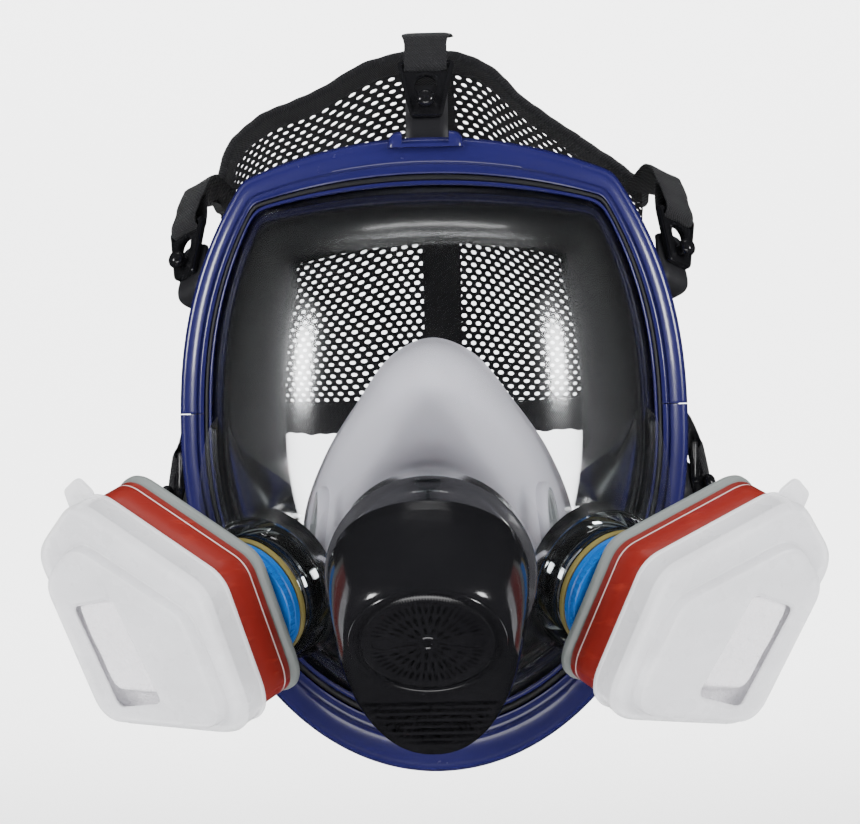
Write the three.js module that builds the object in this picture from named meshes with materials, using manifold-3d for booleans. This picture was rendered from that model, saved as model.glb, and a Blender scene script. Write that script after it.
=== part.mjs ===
// A full-face respirator: a wide clear visor in a two-piece frame, a rubber face seal, an inner nose cup,
// an exhalation outlet at the chin, two bayonet filter cartridges and a mesh head harness on five buckles.
// Millimetres. +Z is up and the mask looks along -Y. The origin is the middle of the opening in the face
// seal, where the wearer's face goes in, so +Y points back through the wearer's head.
import * as THREE from "three";
import { mergeVertices } from "three/addons/utils/BufferGeometryUtils.js";
import Module from "manifold-3d";

const wasm = await Module();
wasm.setup();

// ---- Driving dimensions ----------------------------------------------------------------------------------

const GAP = 0.3; // clearance between neighbouring pieces
const AROUND = 34; // samples round the frame's outline
const ROUND_SEGMENTS = 18; // facets of a round piece

// Frame outline, seen from the front.
const FRAME = {
  halfWidth: 90,
  top: 102,
  bottom: 119,
  cornerX: 65.3,
  cornerZ: 89.2,
  sideBow: 2.45, // power of the curve from the widest point up to the corner
  frontY: -62, // the front face on the centreline
  sideSweep: 22, // how far the sides wrap back
  endSweep: 4, // how far the top and bottom lean back
  splitZ: 7.4, // the joint between the two halves
};

// Visor dome.
const VISOR = { edgeInset: 13.7, bulge: 46, power: 2.6, wall: 2.4 };

// Face seal, and the opening in it that the face goes through.
const SEAL_BACK_Y = 0;

// Outlet at the chin: a barrel that leans down, with its front plane's middle at `front`.
const OUTLET = {
  front: new THREE.Vector3(0, -150, -66.5),
  tilt: Math.PI / 4,
  depth: 35,
  capRadius: 23.2,
  rimRadius: 25.8,
};
const MOUTH = { at: new THREE.Vector3(0, -107, -48), tilt: 0.3, neckRadius: 26.8, collarRadius: 33 };

// Filter port on each cheek: where its axis leaves the visor, and which way it points on the left side.
const PORT = {
  at: new THREE.Vector3(-56, -84, -52),
  lean: 0.698, // between the port's axis and straight ahead
  fall: 0.553, // the turn of the axis below level, seen from the front
  collarRadius: 24.3,
  collarBore: 20.8,
  collarHeight: 7,
  flangeBore: 14,
  neckWall: 2.4,
  twist: -0.074, // how far each cartridge sits turned from the pair's mean
};

// Filter cartridge, measured along the port's axis from the visor.
const CARTRIDGE = {
  spigotRadius: 13.2,
  lugRadius: 17.6,
  ringFrom: 9.8,
  backFrom: 16,
  frontAt: 44,
  labelFrom: 22.5,
  labelTo: 38,
  padThickness: 4,
  skirtFrom: 38.6,
  retainerFront: 52,
  plateauFront: 56.5,
};

// Strap buckles, in each buckle's own frame: +Y along the strap, +Z outwards, the stud at the origin.
const BUCKLE = { thickness: 2.2, topHalfWidth: 10.4, footRadius: 5.6, length: 15.6, strapWidth: 18 };
const STUD = { neckRadius: 1.8 };

// ---- Materials -------------------------------------------------------------------------------------------

const finish = (color, roughness, metalness = 0, opacity = 1) =>
  new THREE.MeshStandardMaterial({ color, roughness, metalness, opacity, transparent: opacity < 1 });

const BLUE_PLASTIC = finish(0x1f2270, 0.32);
const CLEAR_PLASTIC = finish(0xdfe6ea, 0.05, 0, 0.3);
const BLACK_RUBBER = finish(0x101012, 0.6);
const BLACK_GLOSS = finish(0x0b0b0c, 0.18);
const WHITE_SILICONE = finish(0xe4e2e6, 0.42);
const CLEAR_SILICONE = finish(0xd8dcda, 0.3, 0, 0.6);
const OLIVE_RUBBER = finish(0x8d8344, 0.5);
const BAYONET_BLUE = finish(0x0f62b5, 0.35);
const GREY_PLASTIC = finish(0x777c7a, 0.35);
const RED_LABEL = finish(0xb3372a, 0.4);
const CHARCOAL = finish(0x1c1c1c, 0.95);
const WHITE_FELT = finish(0xf3eff2, 0.95);
const MILKY_PLASTIC = finish(0xe9e7ea, 0.3, 0, 0.7);
const BLACK_MESH = finish(0x0e0e10, 0.9);
const BLACK_WEBBING = finish(0x17171a, 0.85);
const STEEL = finish(0xb9bcc0, 0.3, 1);

// ---- Geometry helpers ------------------------------------------------------------------------------------

const vec = (x, y, z) => new THREE.Vector3(x, y, z);
const mix = (a, b, t) => a + (b - a) * t;

/** The signed volume of an indexed geometry: negative where its faces point inwards. */
function volumeOf(geometry) {
  const p = geometry.attributes.position;
  const index = geometry.index.array;
  const [a, b, c] = [vec(0, 0, 0), vec(0, 0, 0), vec(0, 0, 0)];
  let volume = 0;
  for (let i = 0; i < index.length; i += 3) {
    a.fromBufferAttribute(p, index[i]);
    b.fromBufferAttribute(p, index[i + 1]);
    c.fromBufferAttribute(p, index[i + 2]);
    volume += a.dot(b.cross(c)) / 6;
  }
  return volume;
}

/** A closed geometry with shared vertices merged and its faces pointing out. */
function closed(geometry) {
  geometry.deleteAttribute("normal");
  geometry.deleteAttribute("uv");
  const merged = mergeVertices(geometry, 1e-4);
  if (volumeOf(merged) < 0) merged.index.array.reverse();
  return merged;
}

/** The manifold-3d solid of a closed geometry. */
function solid(geometry) {
  const g = closed(geometry);
  return new wasm.Manifold(
    new wasm.Mesh({
      numProp: 3,
      vertProperties: new Float32Array(g.attributes.position.array),
      triVerts: new Uint32Array(g.index.array),
    }),
  );
}

/** The geometry of a manifold-3d solid. */
function shapeOf(made) {
  const m = made.getMesh();
  const positions = new Float32Array(m.numVert * 3);
  for (let i = 0; i < m.numVert; i++) {
    positions.set(m.vertProperties.subarray(i * m.numProp, i * m.numProp + 3), i * 3);
  }
  return new THREE.BufferGeometry()
    .setAttribute("position", new THREE.BufferAttribute(positions, 3))
    .setIndex(new THREE.BufferAttribute(m.triVerts, 1));
}

/** The body through a list of rings of equal length: capped at both ends, or joined last to first. */
function loft(rings, joined = false) {
  const count = rings[0].length;
  const points = rings.flat();
  const index = [];
  const links = joined ? rings.length : rings.length - 1;
  for (let i = 0; i < links; i++) {
    const here = i * count;
    const next = ((i + 1) % rings.length) * count;
    for (let j = 0; j < count; j++) {
      const k = (j + 1) % count;
      index.push(here + j, here + k, next + j, here + k, next + k, next + j);
    }
  }
  if (!joined) {
    const ends = [0, (rings.length - 1) * count];
    ends.forEach((start, side) => {
      const middle = vec(0, 0, 0);
      for (let j = 0; j < count; j++) middle.addScaledVector(points[start + j], 1 / count);
      points.push(middle);
      for (let j = 0; j < count; j++) {
        const pair = [start + j, start + ((j + 1) % count)];
        if (side === 0) pair.reverse();
        index.push(...pair, points.length - 1);
      }
    });
  }
  const geometry = new THREE.BufferGeometry().setFromPoints(points);
  geometry.setIndex(index);
  return closed(geometry);
}

/** A turned body about +Z from [radius, height] pairs; the profile is closed here where it is a ring. */
function turned(profile, segments = ROUND_SEGMENTS) {
  const points = profile.map(([r, h]) => new THREE.Vector2(r, h));
  if (profile[0][0] > 0) points.push(points[0].clone());
  return closed(new THREE.LatheGeometry(points, segments).rotateX(Math.PI / 2));
}

const ring = (inner, outer, from, to) => turned([[inner, from], [outer, from], [outer, to], [inner, to]]);
const disc = (radius, from, to) => turned([[0, from], [radius, from], [radius, to], [0, to]]);
const box = (w, d, h, x = 0, y = 0, z = 0) => new THREE.BoxGeometry(w, d, h).translate(x, y, z);

/** A flat outline with rounded corners, from its corner points, grown outwards by `grow`. */
function roundedOutline(corners, radius, grow = 0) {
  const outline = new THREE.Shape();
  const count = corners.length;
  const pushed = corners.map((corner, i) => {
    const before = corners[(i + count - 1) % count];
    const after = corners[(i + 1) % count];
    const inwards = corner.clone().sub(before).normalize();
    const onwards = after.clone().sub(corner).normalize();
    const normals = [inwards, onwards].map((d) => new THREE.Vector2(d.y, -d.x));
    const sum = normals[0].clone().add(normals[1]);
    return corner.clone().addScaledVector(sum, grow / (1 + normals[0].dot(normals[1])));
  });
  pushed.forEach((corner, i) => {
    const before = pushed[(i + count - 1) % count];
    const after = pushed[(i + 1) % count];
    const backwards = before.clone().sub(corner).normalize();
    const onwards = after.clone().sub(corner).normalize();
    const half = Math.acos(backwards.dot(onwards)) / 2;
    const setback = (radius + grow) / Math.tan(half);
    const from = corner.clone().addScaledVector(backwards, setback);
    const to = corner.clone().addScaledVector(onwards, setback);
    if (i === 0) outline.moveTo(from.x, from.y);
    else outline.lineTo(from.x, from.y);
    outline.quadraticCurveTo(corner.x, corner.y, to.x, to.y);
  });
  outline.closePath();
  return outline;
}

const extruded = (outline, from, to, curveSegments = 3) =>
  closed(
    new THREE.ExtrudeGeometry(outline, { depth: to - from, bevelEnabled: false, curveSegments }).translate(0, 0, from),
  );

/** A thin closed body over a grid of points, half its thickness to either side. */
function sheet(grid, thickness) {
  const [rows, cols] = [grid.length, grid[0].length];
  const at = (i, j) => grid[Math.min(rows - 1, Math.max(0, i))][Math.min(cols - 1, Math.max(0, j))];
  const normals = grid.map((row, i) =>
    row.map((_, j) => {
      const along = at(i + 1, j).clone().sub(at(i - 1, j));
      const across = at(i, j + 1).clone().sub(at(i, j - 1));
      return along.cross(across).normalize();
    }),
  );
  const rings = grid.map((row, i) => {
    const front = row.map((p, j) => p.clone().addScaledVector(normals[i][j], thickness / 2));
    const back = row.map((p, j) => p.clone().addScaledVector(normals[i][j], -thickness / 2)).reverse();
    return [...front, ...back];
  });
  const count = cols * 2;
  const index = [];
  for (let i = 0; i + 1 < rows; i++) {
    for (let j = 0; j < count; j++) {
      const k = (j + 1) % count;
      const [a, b, c, d] = [i * count + j, i * count + k, (i + 1) * count + j, (i + 1) * count + k];
      index.push(a, b, c, b, d, c);
    }
  }
  for (const [start, flip] of [[0, true], [(rows - 1) * count, false]]) {
    for (let j = 0; j + 1 < cols; j++) {
      const quad = [start + j, start + j + 1, start + count - 1 - j, start + count - 2 - j];
      const pair = [[quad[0], quad[1], quad[2]], [quad[1], quad[3], quad[2]]];
      pair.forEach((t) => index.push(...(flip ? t.reverse() : t)));
    }
  }
  const geometry = new THREE.BufferGeometry().setFromPoints(rings.flat());
  geometry.setIndex(index);
  return closed(geometry);
}

/** A strap of one width along a path, held flat across a turning direction. */
function strap(path, acrossFrom, acrossTo, width, steps, thickness = 1.6) {
  const curve = new THREE.CatmullRomCurve3(path, false, "centripetal");
  const grid = [];
  for (let i = 0; i <= steps; i++) {
    const middle = curve.getPoint(i / steps);
    const along = curve.getTangent(i / steps);
    const across = acrossFrom.clone().lerp(acrossTo, i / steps);
    across.addScaledVector(along, -across.dot(along)).setLength(width / 2);
    grid.push([middle.clone().sub(across), middle, middle.clone().add(across)]);
  }
  return sheet(grid, thickness);
}

// ---- The object's tree -----------------------------------------------------------------------------------

const respirator = new THREE.Group();

/** Adds a named piece to a group and returns it. */
function add(name, geometry, material, group = respirator) {
  const piece = new THREE.Mesh(geometry, material);
  piece.name = name;
  group.add(piece);
  return piece;
}

// ---- Frame -----------------------------------------------------------------------------------------------

// The frame's bands are wider on top and at the chin than at the sides, so an inset counts for more there.
const TOP_SHARE = 1.4;
const BOTTOM_SHARE = 1.7;

/** Half of the frame's outline at an inset, from the chin up to the crown, as [x, z] pairs. */
function halfOutline(inset) {
  const width = FRAME.halfWidth - inset;
  const bottom = FRAME.bottom - BOTTOM_SHARE * inset;
  const corner = [FRAME.cornerX - 0.41 * inset, FRAME.cornerZ - 0.93 * inset];
  const rise = FRAME.top - TOP_SHARE * inset - corner[1];
  const radius = (corner[0] ** 2 + rise ** 2) / (2 * rise);
  const points = [];
  for (let i = 0; i <= 24; i++) {
    const a = ((i / 24 - 1) * Math.PI) / 2;
    points.push([width * Math.cos(a), bottom * Math.sin(a)]);
  }
  for (let i = 1; i <= 12; i++) {
    const z = (corner[1] * i) / 12;
    points.push([width - (width - corner[0]) * (z / corner[1]) ** FRAME.sideBow, z]);
  }
  for (let i = 1; i <= 10; i++) {
    const x = corner[0] * (1 - i / 10);
    points.push([x, corner[1] + rise - radius + Math.sqrt(radius ** 2 - x ** 2)]);
  }
  return points;
}

const CORNER_ANGLE = Math.atan2(FRAME.cornerZ, FRAME.cornerX);

/** The angles, from the chin round to the chin, at which every outline is sampled. One is at each corner. */
const ANGLES = (() => {
  const half = AROUND / 2;
  const below = Math.round(half * 0.72);
  const angles = [];
  for (let i = 0; i <= half; i++) {
    const low = i <= below;
    const share = low ? i / below : (i - below) / (half - below);
    angles.push(low ? mix(-Math.PI / 2, CORNER_ANGLE, share) : mix(CORNER_ANGLE, Math.PI / 2, share));
  }
  const mirrored = angles.slice(1, -1).reverse().map((a) => Math.PI - a);
  return [...angles, ...mirrored];
})();

/** Where a ray from `middle` at an angle meets a half outline, mirrored to either side. */
function rayPoint(half, angle, middle = [0, 0]) {
  const side = Math.cos(angle) < 0 ? -1 : 1;
  const direction = [Math.abs(Math.cos(angle)), Math.sin(angle)];
  let found = side * direction[0] < 1e-9 ? (direction[1] > 0 ? half.at(-1) : half[0]) : half.at(-1);
  for (let i = 0; i + 1 < half.length; i++) {
    const [ax, az] = [half[i][0], half[i][1] - middle[1]];
    const [bx, bz] = [half[i + 1][0], half[i + 1][1] - middle[1]];
    const sideA = ax * direction[1] - az * direction[0];
    const sideB = bx * direction[1] - bz * direction[0];
    if (sideA >= 0 && sideB <= 0 && sideA !== sideB) {
      const t = sideA / (sideA - sideB);
      found = [mix(half[i][0], half[i + 1][0], t), mix(half[i][1], half[i + 1][1], t)];
      break;
    }
  }
  return [side * found[0], found[1]];
}

/** How far back the frame's front face lies at a place in the front view. */
const frameY = (x, z) =>
  FRAME.frontY + FRAME.sideSweep * (x / FRAME.halfWidth) ** 2 + FRAME.endSweep * (z / 110) ** 2;

/** A loop round the frame at an inset, `back` behind the frame's front face. */
function frameLoop(inset, back) {
  const half = halfOutline(inset);
  return ANGLES.map((angle) => {
    const [x, z] = rayPoint(half, angle);
    return vec(x, frameY(x, z) + back, z);
  });
}

/** A rail of a constant section, as [inset, back] pairs, all round the frame. */
const rail = (section) => loft(section.map(([inset, back]) => frameLoop(inset, back)), true);

const FRAME_SECTION = [
  [0, 11], [0.4, -1.8], [2.2, -3.4], [9.4, -4], [9.4, -0.5], [3.2, -0.3], [3.2, 8.8], [5.8, 8.8], [5.8, 11],
];
const BOSS = { x: 86, y: FRAME.frontY + FRAME.sideSweep + 15, radius: 3.9, height: 8 };
const frameRail = solid(rail(FRAME_SECTION));

/** The block in the middle of the frame's top, in front of the uppermost lug. */
const crownBoss = loft([
  [vec(-15, -66, 98.5), vec(15, -66, 98.5), vec(15, -52, 98.5), vec(-15, -52, 98.5)],
  [vec(-14, -65.4, 102.6), vec(14, -65.4, 102.6), vec(14, -52, 102.6), vec(-14, -52, 102.6)],
  [vec(-11, -64, 104.6), vec(11, -64, 104.6), vec(11, -52, 104.6), vec(-11, -52, 104.6)],
]);

/** One half of the frame, with the bosses that its two clamp screws pass through. */
function frameHalf(up) {
  const keep = box(240, 120, 200, 0, -40, FRAME.splitZ + up * (100 + GAP / 2));
  let half = frameRail.intersect(solid(keep));
  if (up > 0) half = half.add(solid(crownBoss));
  for (const side of [-1, 1]) {
    const middle = FRAME.splitZ + up * (BOSS.height / 2 + GAP / 2);
    const at = [side * BOSS.x, BOSS.y, middle];
    const boss = new THREE.CylinderGeometry(BOSS.radius, BOSS.radius, BOSS.height, 12).rotateX(Math.PI / 2);
    const web = box(5, 7, BOSS.height, side * (BOSS.x + 1.2), BOSS.y - 4.5, middle);
    const hole = new THREE.CylinderGeometry(1.9, 1.9, BOSS.height + 2, 8).rotateX(Math.PI / 2);
    half = half
      .add(solid(boss.translate(...at)))
      .add(solid(web))
      .subtract(solid(hole.translate(...at)));
  }
  return shapeOf(half);
}

add("upper_frame", frameHalf(1), BLUE_PLASTIC);
add("lower_frame", frameHalf(-1), BLUE_PLASTIC);

for (const [label, side] of [["left", -1], ["right", 1]]) {
  const reach = BOSS.height + GAP / 2;
  const screw = solid(disc(1.6, -reach - 2.6, reach + 0.1))
    .add(solid(disc(3.1, reach + 0.1 + GAP, reach + 2.2)))
    .add(solid(disc(1.6, reach, reach + 1)));
  add(`${label}_clamp_screw`, shapeOf(screw), STEEL).position.set(side * BOSS.x, BOSS.y, FRAME.splitZ);
  const nut = solid(turned([[0, -reach - 2.6], [3.4, -reach - 2.6], [3.4, -reach - GAP], [0, -reach - GAP]], 6));
  add(`${label}_clamp_nut`, shapeOf(nut.subtract(solid(disc(1.9, -20, 0)))), STEEL).position.set(
    side * BOSS.x,
    BOSS.y,
    FRAME.splitZ,
  );
}

add("visor_gasket", rail([[9.95, -0.25], [9.95, -3], [11.5, -3], [11.5, -0.25]]), BLACK_RUBBER);
add("visor_trim", rail([[11.8, -0.25], [11.8, -3.4], [13.4, -3.4], [13.4, -0.25]]), BLUE_PLASTIC);

// ---- Visor -----------------------------------------------------------------------------------------------

/** The dome's surface over a place in the front view, `deeper` inside its outer skin. */
function domePoint(angle, share, deeper) {
  const half = halfOutline(VISOR.edgeInset + deeper);
  const [ex, ez] = rayPoint(half, angle);
  const [x, z] = [ex * share, ez * share];
  const edgeY = frameY(ex, ez);
  const lift = (VISOR.bulge - deeper) * Math.sqrt(Math.max(0, 1 - share ** VISOR.power));
  return vec(x, mix(FRAME.frontY, edgeY, share ** 2) - lift, z);
}

const DOME_SHARES = [0.3, 0.55, 0.74, 0.87, 0.95, 1];

/** A closed body under the dome's skin at a depth, filled back to well behind the frame's front. */
function domeCore(deeper, back = 0) {
  const rings = DOME_SHARES.map((share) => ANGLES.map((angle) => domePoint(angle, share, deeper)));
  const base = rings.at(-1).map((p) => p.clone().setY(p.y + back));
  return solid(loft([...rings, base]));
}

const portFrame = new THREE.Matrix4();
{
  const [flat, up] = [Math.cos(PORT.fall), Math.sin(PORT.fall)];
  const axis = vec(-flat * Math.sin(PORT.lean), -Math.cos(PORT.lean), -up * Math.sin(PORT.lean));
  const across = vec(up, 0, -flat);
  const outwards = across.clone().cross(axis);
  portFrame.makeBasis(outwards, across, axis).setPosition(PORT.at);
}
const mirrorX = new THREE.Matrix4().makeScale(-1, 1, 1);
const portFrameOn = (side) => (side < 0 ? portFrame.clone() : mirrorX.clone().multiply(portFrame));

/** A geometry moved from a port's own frame to the mask's, on either side. */
const atPort = (geometry, side) => closed(geometry.clone().applyMatrix4(portFrameOn(side)));

/** The same, first turned about the port's axis as the cartridge on that side sits. */
const atTwistedPort = (geometry, side) => atPort(geometry.clone().rotateZ(-side * PORT.twist), side);

/** The frame of a tilted piece on the centreline: +Z along its axis, which points forwards and down. */
const tiltedFrame = (at, tilt) =>
  new THREE.Matrix4()
    .makeBasis(vec(1, 0, 0), vec(0, -Math.sin(tilt), Math.cos(tilt)), vec(0, -Math.cos(tilt), -Math.sin(tilt)))
    .setPosition(at);
const mouthFrame = tiltedFrame(MOUTH.at, MOUTH.tilt);
const atMouth = (geometry) => closed(geometry.clone().applyMatrix4(mouthFrame));
const outletFrame = tiltedFrame(OUTLET.front, OUTLET.tilt);
const atOutlet = (geometry) => closed(geometry.clone().applyMatrix4(outletFrame));

const flange = solid(rail([[4, 0], [VISOR.edgeInset + 1.2, 0], [VISOR.edgeInset + 1.2, 2.4], [4, 2.4]]));
const behindFrame = solid(rail([[-9, -6.5], [VISOR.edgeInset, -6.5], [VISOR.edgeInset, 12], [-9, 12]]));
let visor = domeCore(0, 2.4).add(solid(atMouth(disc(MOUTH.collarRadius + GAP + PORT.neckWall, -16, 0))));
for (const side of [-1, 1]) {
  const neck = solid(atPort(disc(PORT.collarRadius + GAP + PORT.neckWall, -22, -1), side));
  visor = visor.add(neck.subtract(behindFrame));
}
visor = visor.subtract(domeCore(VISOR.wall, 30)).add(flange);
for (const side of [-1, 1]) {
  visor = visor.subtract(solid(atPort(disc(PORT.collarRadius + GAP, -30, 25), side)));
}
visor = visor.subtract(solid(atMouth(disc(MOUTH.collarRadius + GAP, -20, 30))));
add("visor", shapeOf(visor), CLEAR_PLASTIC);

// ---- Filter ports ----------------------------------------------------------------------------------------

const LUGS = [0, 1, 2].map((i) => (i * 2 * Math.PI) / 3);
const LUG_HALF_ANGLE = 0.32;

/** A wedge-shaped sector of a ring, centred on an angle. */
function sector(inner, outer, from, to, angle, half) {
  const outline = new THREE.Shape();
  outline.absarc(0, 0, outer, angle - half, angle + half, false);
  outline.absarc(0, 0, inner, angle + half, angle - half, true);
  outline.closePath();
  return extruded(outline, from, to, 3);
}

/** The collar, valve seat, flap and gasket of the filter port on one side. */
function filterPort(label, side) {
  const { collarRadius, collarBore, collarHeight, flangeBore } = PORT;
  let collar = solid(ring(collarBore, collarRadius, -4, collarHeight))
    .add(solid(ring(flangeBore, collarBore + 1, 3.4, 5.4)));
  for (const angle of LUGS) {
    collar = collar.subtract(solid(sector(flangeBore - 2, 18.2, 2, 7, angle + Math.PI / 3, 0.38)));
  }
  add(`${label}_port_collar`, atPort(shapeOf(collar), side), CLEAR_PLASTIC);

  let seat = solid(ring(16, collarBore - GAP, -2.6, 0.2)).add(solid(disc(3, -2, -0.4)));
  for (const turn of [0, Math.PI / 2]) {
    seat = seat.add(solid(box(33, 1.6, 1.4, 0, 0, -1.2).rotateZ(turn)));
  }
  add(`${label}_inlet_valve_seat`, atPort(shapeOf(seat), side), BLACK_GLOSS);
  add(`${label}_inlet_valve_flap`, atPort(disc(17.4, -3.8, -2.9), side), OLIVE_RUBBER);
  add(`${label}_port_gasket`, atPort(ring(14.4, 21.4, collarHeight + GAP, 9.5), side), OLIVE_RUBBER);
}

filterPort("left", -1);
filterPort("right", 1);

// ---- Filter cartridges -----------------------------------------------------------------------------------

// The cartridge's outline across the port's axis: +X is outwards and +Y down and inwards.
const CARTRIDGE_CORNERS = [
  [36, -50], [46, 13], [-12, 37], [-25, -13], [8, -59],
].map(([x, y]) => new THREE.Vector2(x, y));
const CARTRIDGE_RADIUS = 13;
const cartridgeOutline = (grow) => roundedOutline(CARTRIDGE_CORNERS, CARTRIDGE_RADIUS, grow - 2.4);

/** The window in the retainer's front, a slanted four-sided hole. */
const WINDOW_CORNERS = [[29, -30], [33, 10], [12, 15], [10, -26]].map(([x, y]) => new THREE.Vector2(x, y));

/** The cartridge, its prefilter pad and the snap-on retainer on one side. */
function filter(label, side) {
  const c = CARTRIDGE;
  const place = (name, made, material) =>
    add(`${label}_${name}`, atTwistedPort(made.getMesh ? shapeOf(made) : made, side), material);

  let bayonet = solid(ring(10.5, 21, c.ringFrom, c.backFrom - GAP)).add(
    solid(ring(10.5, c.spigotRadius, 0.8, c.backFrom - GAP)),
  );
  for (const angle of LUGS) {
    bayonet = bayonet.add(solid(sector(c.spigotRadius - 1, c.lugRadius, 0.8, 3, angle, LUG_HALF_ANGLE)));
  }
  place("bayonet_ring", bayonet, BAYONET_BLUE);

  const shell = solid(extruded(cartridgeOutline(0), c.backFrom, c.frontAt))
    .subtract(solid(extruded(cartridgeOutline(-1.6), c.backFrom + 2, c.frontAt + 1)))
    .subtract(solid(disc(10.5, c.backFrom - 1, c.backFrom + 3)));
  place("cartridge_body", shell, GREY_PLASTIC);
  place("carbon_bed", extruded(cartridgeOutline(-1.6 - GAP), c.backFrom + 2 + GAP, c.frontAt - 0.6), CHARCOAL);
  const band = solid(extruded(cartridgeOutline(0.5), c.labelFrom, c.labelTo)).subtract(
    solid(extruded(cartridgeOutline(0.15), c.labelFrom - 1, c.labelTo + 1)),
  );
  place("cartridge_label", band, RED_LABEL);

  const padFront = c.frontAt + GAP + c.padThickness;
  place("filter_pad", extruded(cartridgeOutline(-0.5), c.frontAt + GAP, padFront), WHITE_FELT);
  const tab = roundedOutline([[12, -67], [23, -65], [24, -54], [8, -56]].map(([x, y]) => new THREE.Vector2(x, y)), 2);
  const retainer = solid(extruded(cartridgeOutline(2.4), c.skirtFrom, c.retainerFront))
    .add(solid(extruded(cartridgeOutline(-4), c.retainerFront - 0.5, c.plateauFront)))
    .add(solid(extruded(tab, c.skirtFrom, c.skirtFrom + 1.6)))
    .subtract(solid(extruded(cartridgeOutline(0.8), c.skirtFrom - 1, padFront + GAP)))
    .subtract(solid(extruded(cartridgeOutline(-6), padFront, c.plateauFront - 1.6)))
    .subtract(solid(extruded(roundedOutline(WINDOW_CORNERS, 3), padFront, c.plateauFront + 1)));
  place("retainer", retainer, MILKY_PLASTIC);
}

filter("left", -1);
filter("right", 1);

// ---- Exhalation outlet -----------------------------------------------------------------------------------

/** An egg-shaped ring across the outlet's axis, blunt above and drawn out below. */
function eggRing(halfWidth, top, bottom, at, count = 20) {
  const points = [];
  for (let i = 0; i < count; i++) {
    const a = (i / count) * 2 * Math.PI;
    const x = halfWidth * Math.sign(Math.cos(a)) * Math.abs(Math.cos(a)) ** 0.92;
    points.push(vec(x, (Math.sin(a) > 0 ? top : bottom) * Math.sin(a), at));
  }
  return points;
}

/** The barrel's body, `less` inside its outer skin. */
function barrel(less) {
  const { depth, rimRadius } = OUTLET;
  const sections = [
    [32.6, 29.5, 46, -depth], [32, 28.8, 57, -depth * 0.5], [29.6, 27.4, 61, -6],
    [rimRadius + 1.6, rimRadius + 0.6, 57, -1], [rimRadius, rimRadius, 52, 0],
  ];
  const rings = sections.map(([w, t, b, at], i) =>
    eggRing(w - less, t - less, b - less, i === sections.length - 1 ? at - less : at),
  );
  return solid(atOutlet(loft(rings)));
}

const cylinder = (radius, from, to) => disc(radius, from, to);
const LOUVRES = { count: 5, width: 30, from: -32, pitch: 4 };
const capSeat = { from: -5.2, radius: OUTLET.capRadius + 2 * GAP };
const bulkhead = { from: -17.5, to: -15.5 }; // the wall across the barrel that holds the outlet valve
let housing = barrel(0)
  .subtract(domeCore(-1))
  .subtract(solid(atMouth(cylinder(MOUTH.collarRadius + GAP, -30, 5.3))))
  .subtract(solid(atMouth(cylinder(MOUTH.collarRadius + 2 * GAP + PORT.neckWall, -30, GAP))));
const duct = solid(atMouth(ring(MOUTH.neckRadius - 2.2, MOUTH.neckRadius, -17, 9)));
const hollow = barrel(2.2)
  .intersect(solid(atOutlet(cylinder(90, bulkhead.to, 5))))
  .add(solid(atOutlet(cylinder(21, -34, bulkhead.from))))
  .add(solid(atMouth(cylinder(MOUTH.neckRadius - 2.2, -30, 8))));
housing = housing.add(duct).subtract(hollow);
housing = housing.add(solid(atOutlet(ring(capSeat.radius, OUTLET.rimRadius, -18, 0))).intersect(barrel(0)));
housing = housing.subtract(solid(atOutlet(cylinder(15, bulkhead.from - 1, bulkhead.to + 1))));
housing = housing.subtract(solid(atOutlet(cylinder(capSeat.radius, bulkhead.to, 3))));

for (let i = 0; i < LOUVRES.count; i++) {
  const louvre = box(LOUVRES.width - i * 2.4, 1.4, 12, 0, LOUVRES.from - i * LOUVRES.pitch, -1);
  housing = housing.subtract(solid(atOutlet(louvre)));
}
add("exhalation_housing", shapeOf(housing), BLACK_GLOSS);

const collar = solid(ring(MOUTH.neckRadius + GAP, MOUTH.collarRadius, -3.5, 5)).subtract(
  solid(ring(MOUTH.collarRadius - 2.2, 40, 2.6, 6)),
);
add("mouth_collar", atMouth(shapeOf(collar)), finish(0x3c3c42, 0.12, 0, 0.75));

let valveSeat = solid(ring(12.6, 18, -15.2, -13)).add(solid(disc(2.2, -15.2, -13.8)));
for (const turn of [0, 1, 2].map((i) => (i * Math.PI) / 3)) {
  valveSeat = valveSeat.add(solid(box(26, 1.4, 1.3, 0, 0, -14.5).rotateZ(turn)));
}
add("outlet_valve_seat", atOutlet(shapeOf(valveSeat)), WHITE_SILICONE);
add("outlet_valve_flap", atOutlet(disc(15.5, -12.6, -11.8)), CLEAR_SILICONE);

let cap = solid(disc(OUTLET.capRadius, -3.4, 0.4)).add(solid(ring(20, OUTLET.capRadius, -8, 0)));
const SLOTS = { count: 14, from: 5, to: 16.5, width: 1.6 };
for (let i = 0; i < SLOTS.count; i++) {
  const slot = box(SLOTS.to - SLOTS.from, SLOTS.width, 8, (SLOTS.from + SLOTS.to) / 2, 0, -1);
  cap = cap.subtract(solid(slot.rotateZ(((i + 0.5) / SLOTS.count) * 2 * Math.PI)));
}
cap = cap.subtract(solid(disc(1.7, -6, 3)));
add("valve_cap", atOutlet(shapeOf(cap)), BLACK_GLOSS);

// ---- Nose cup --------------------------------------------------------------------------------------------

const smooth = (points, count) => new THREE.CatmullRomCurve3(points, true, "centripetal").getSpacedPoints(count);

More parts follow.
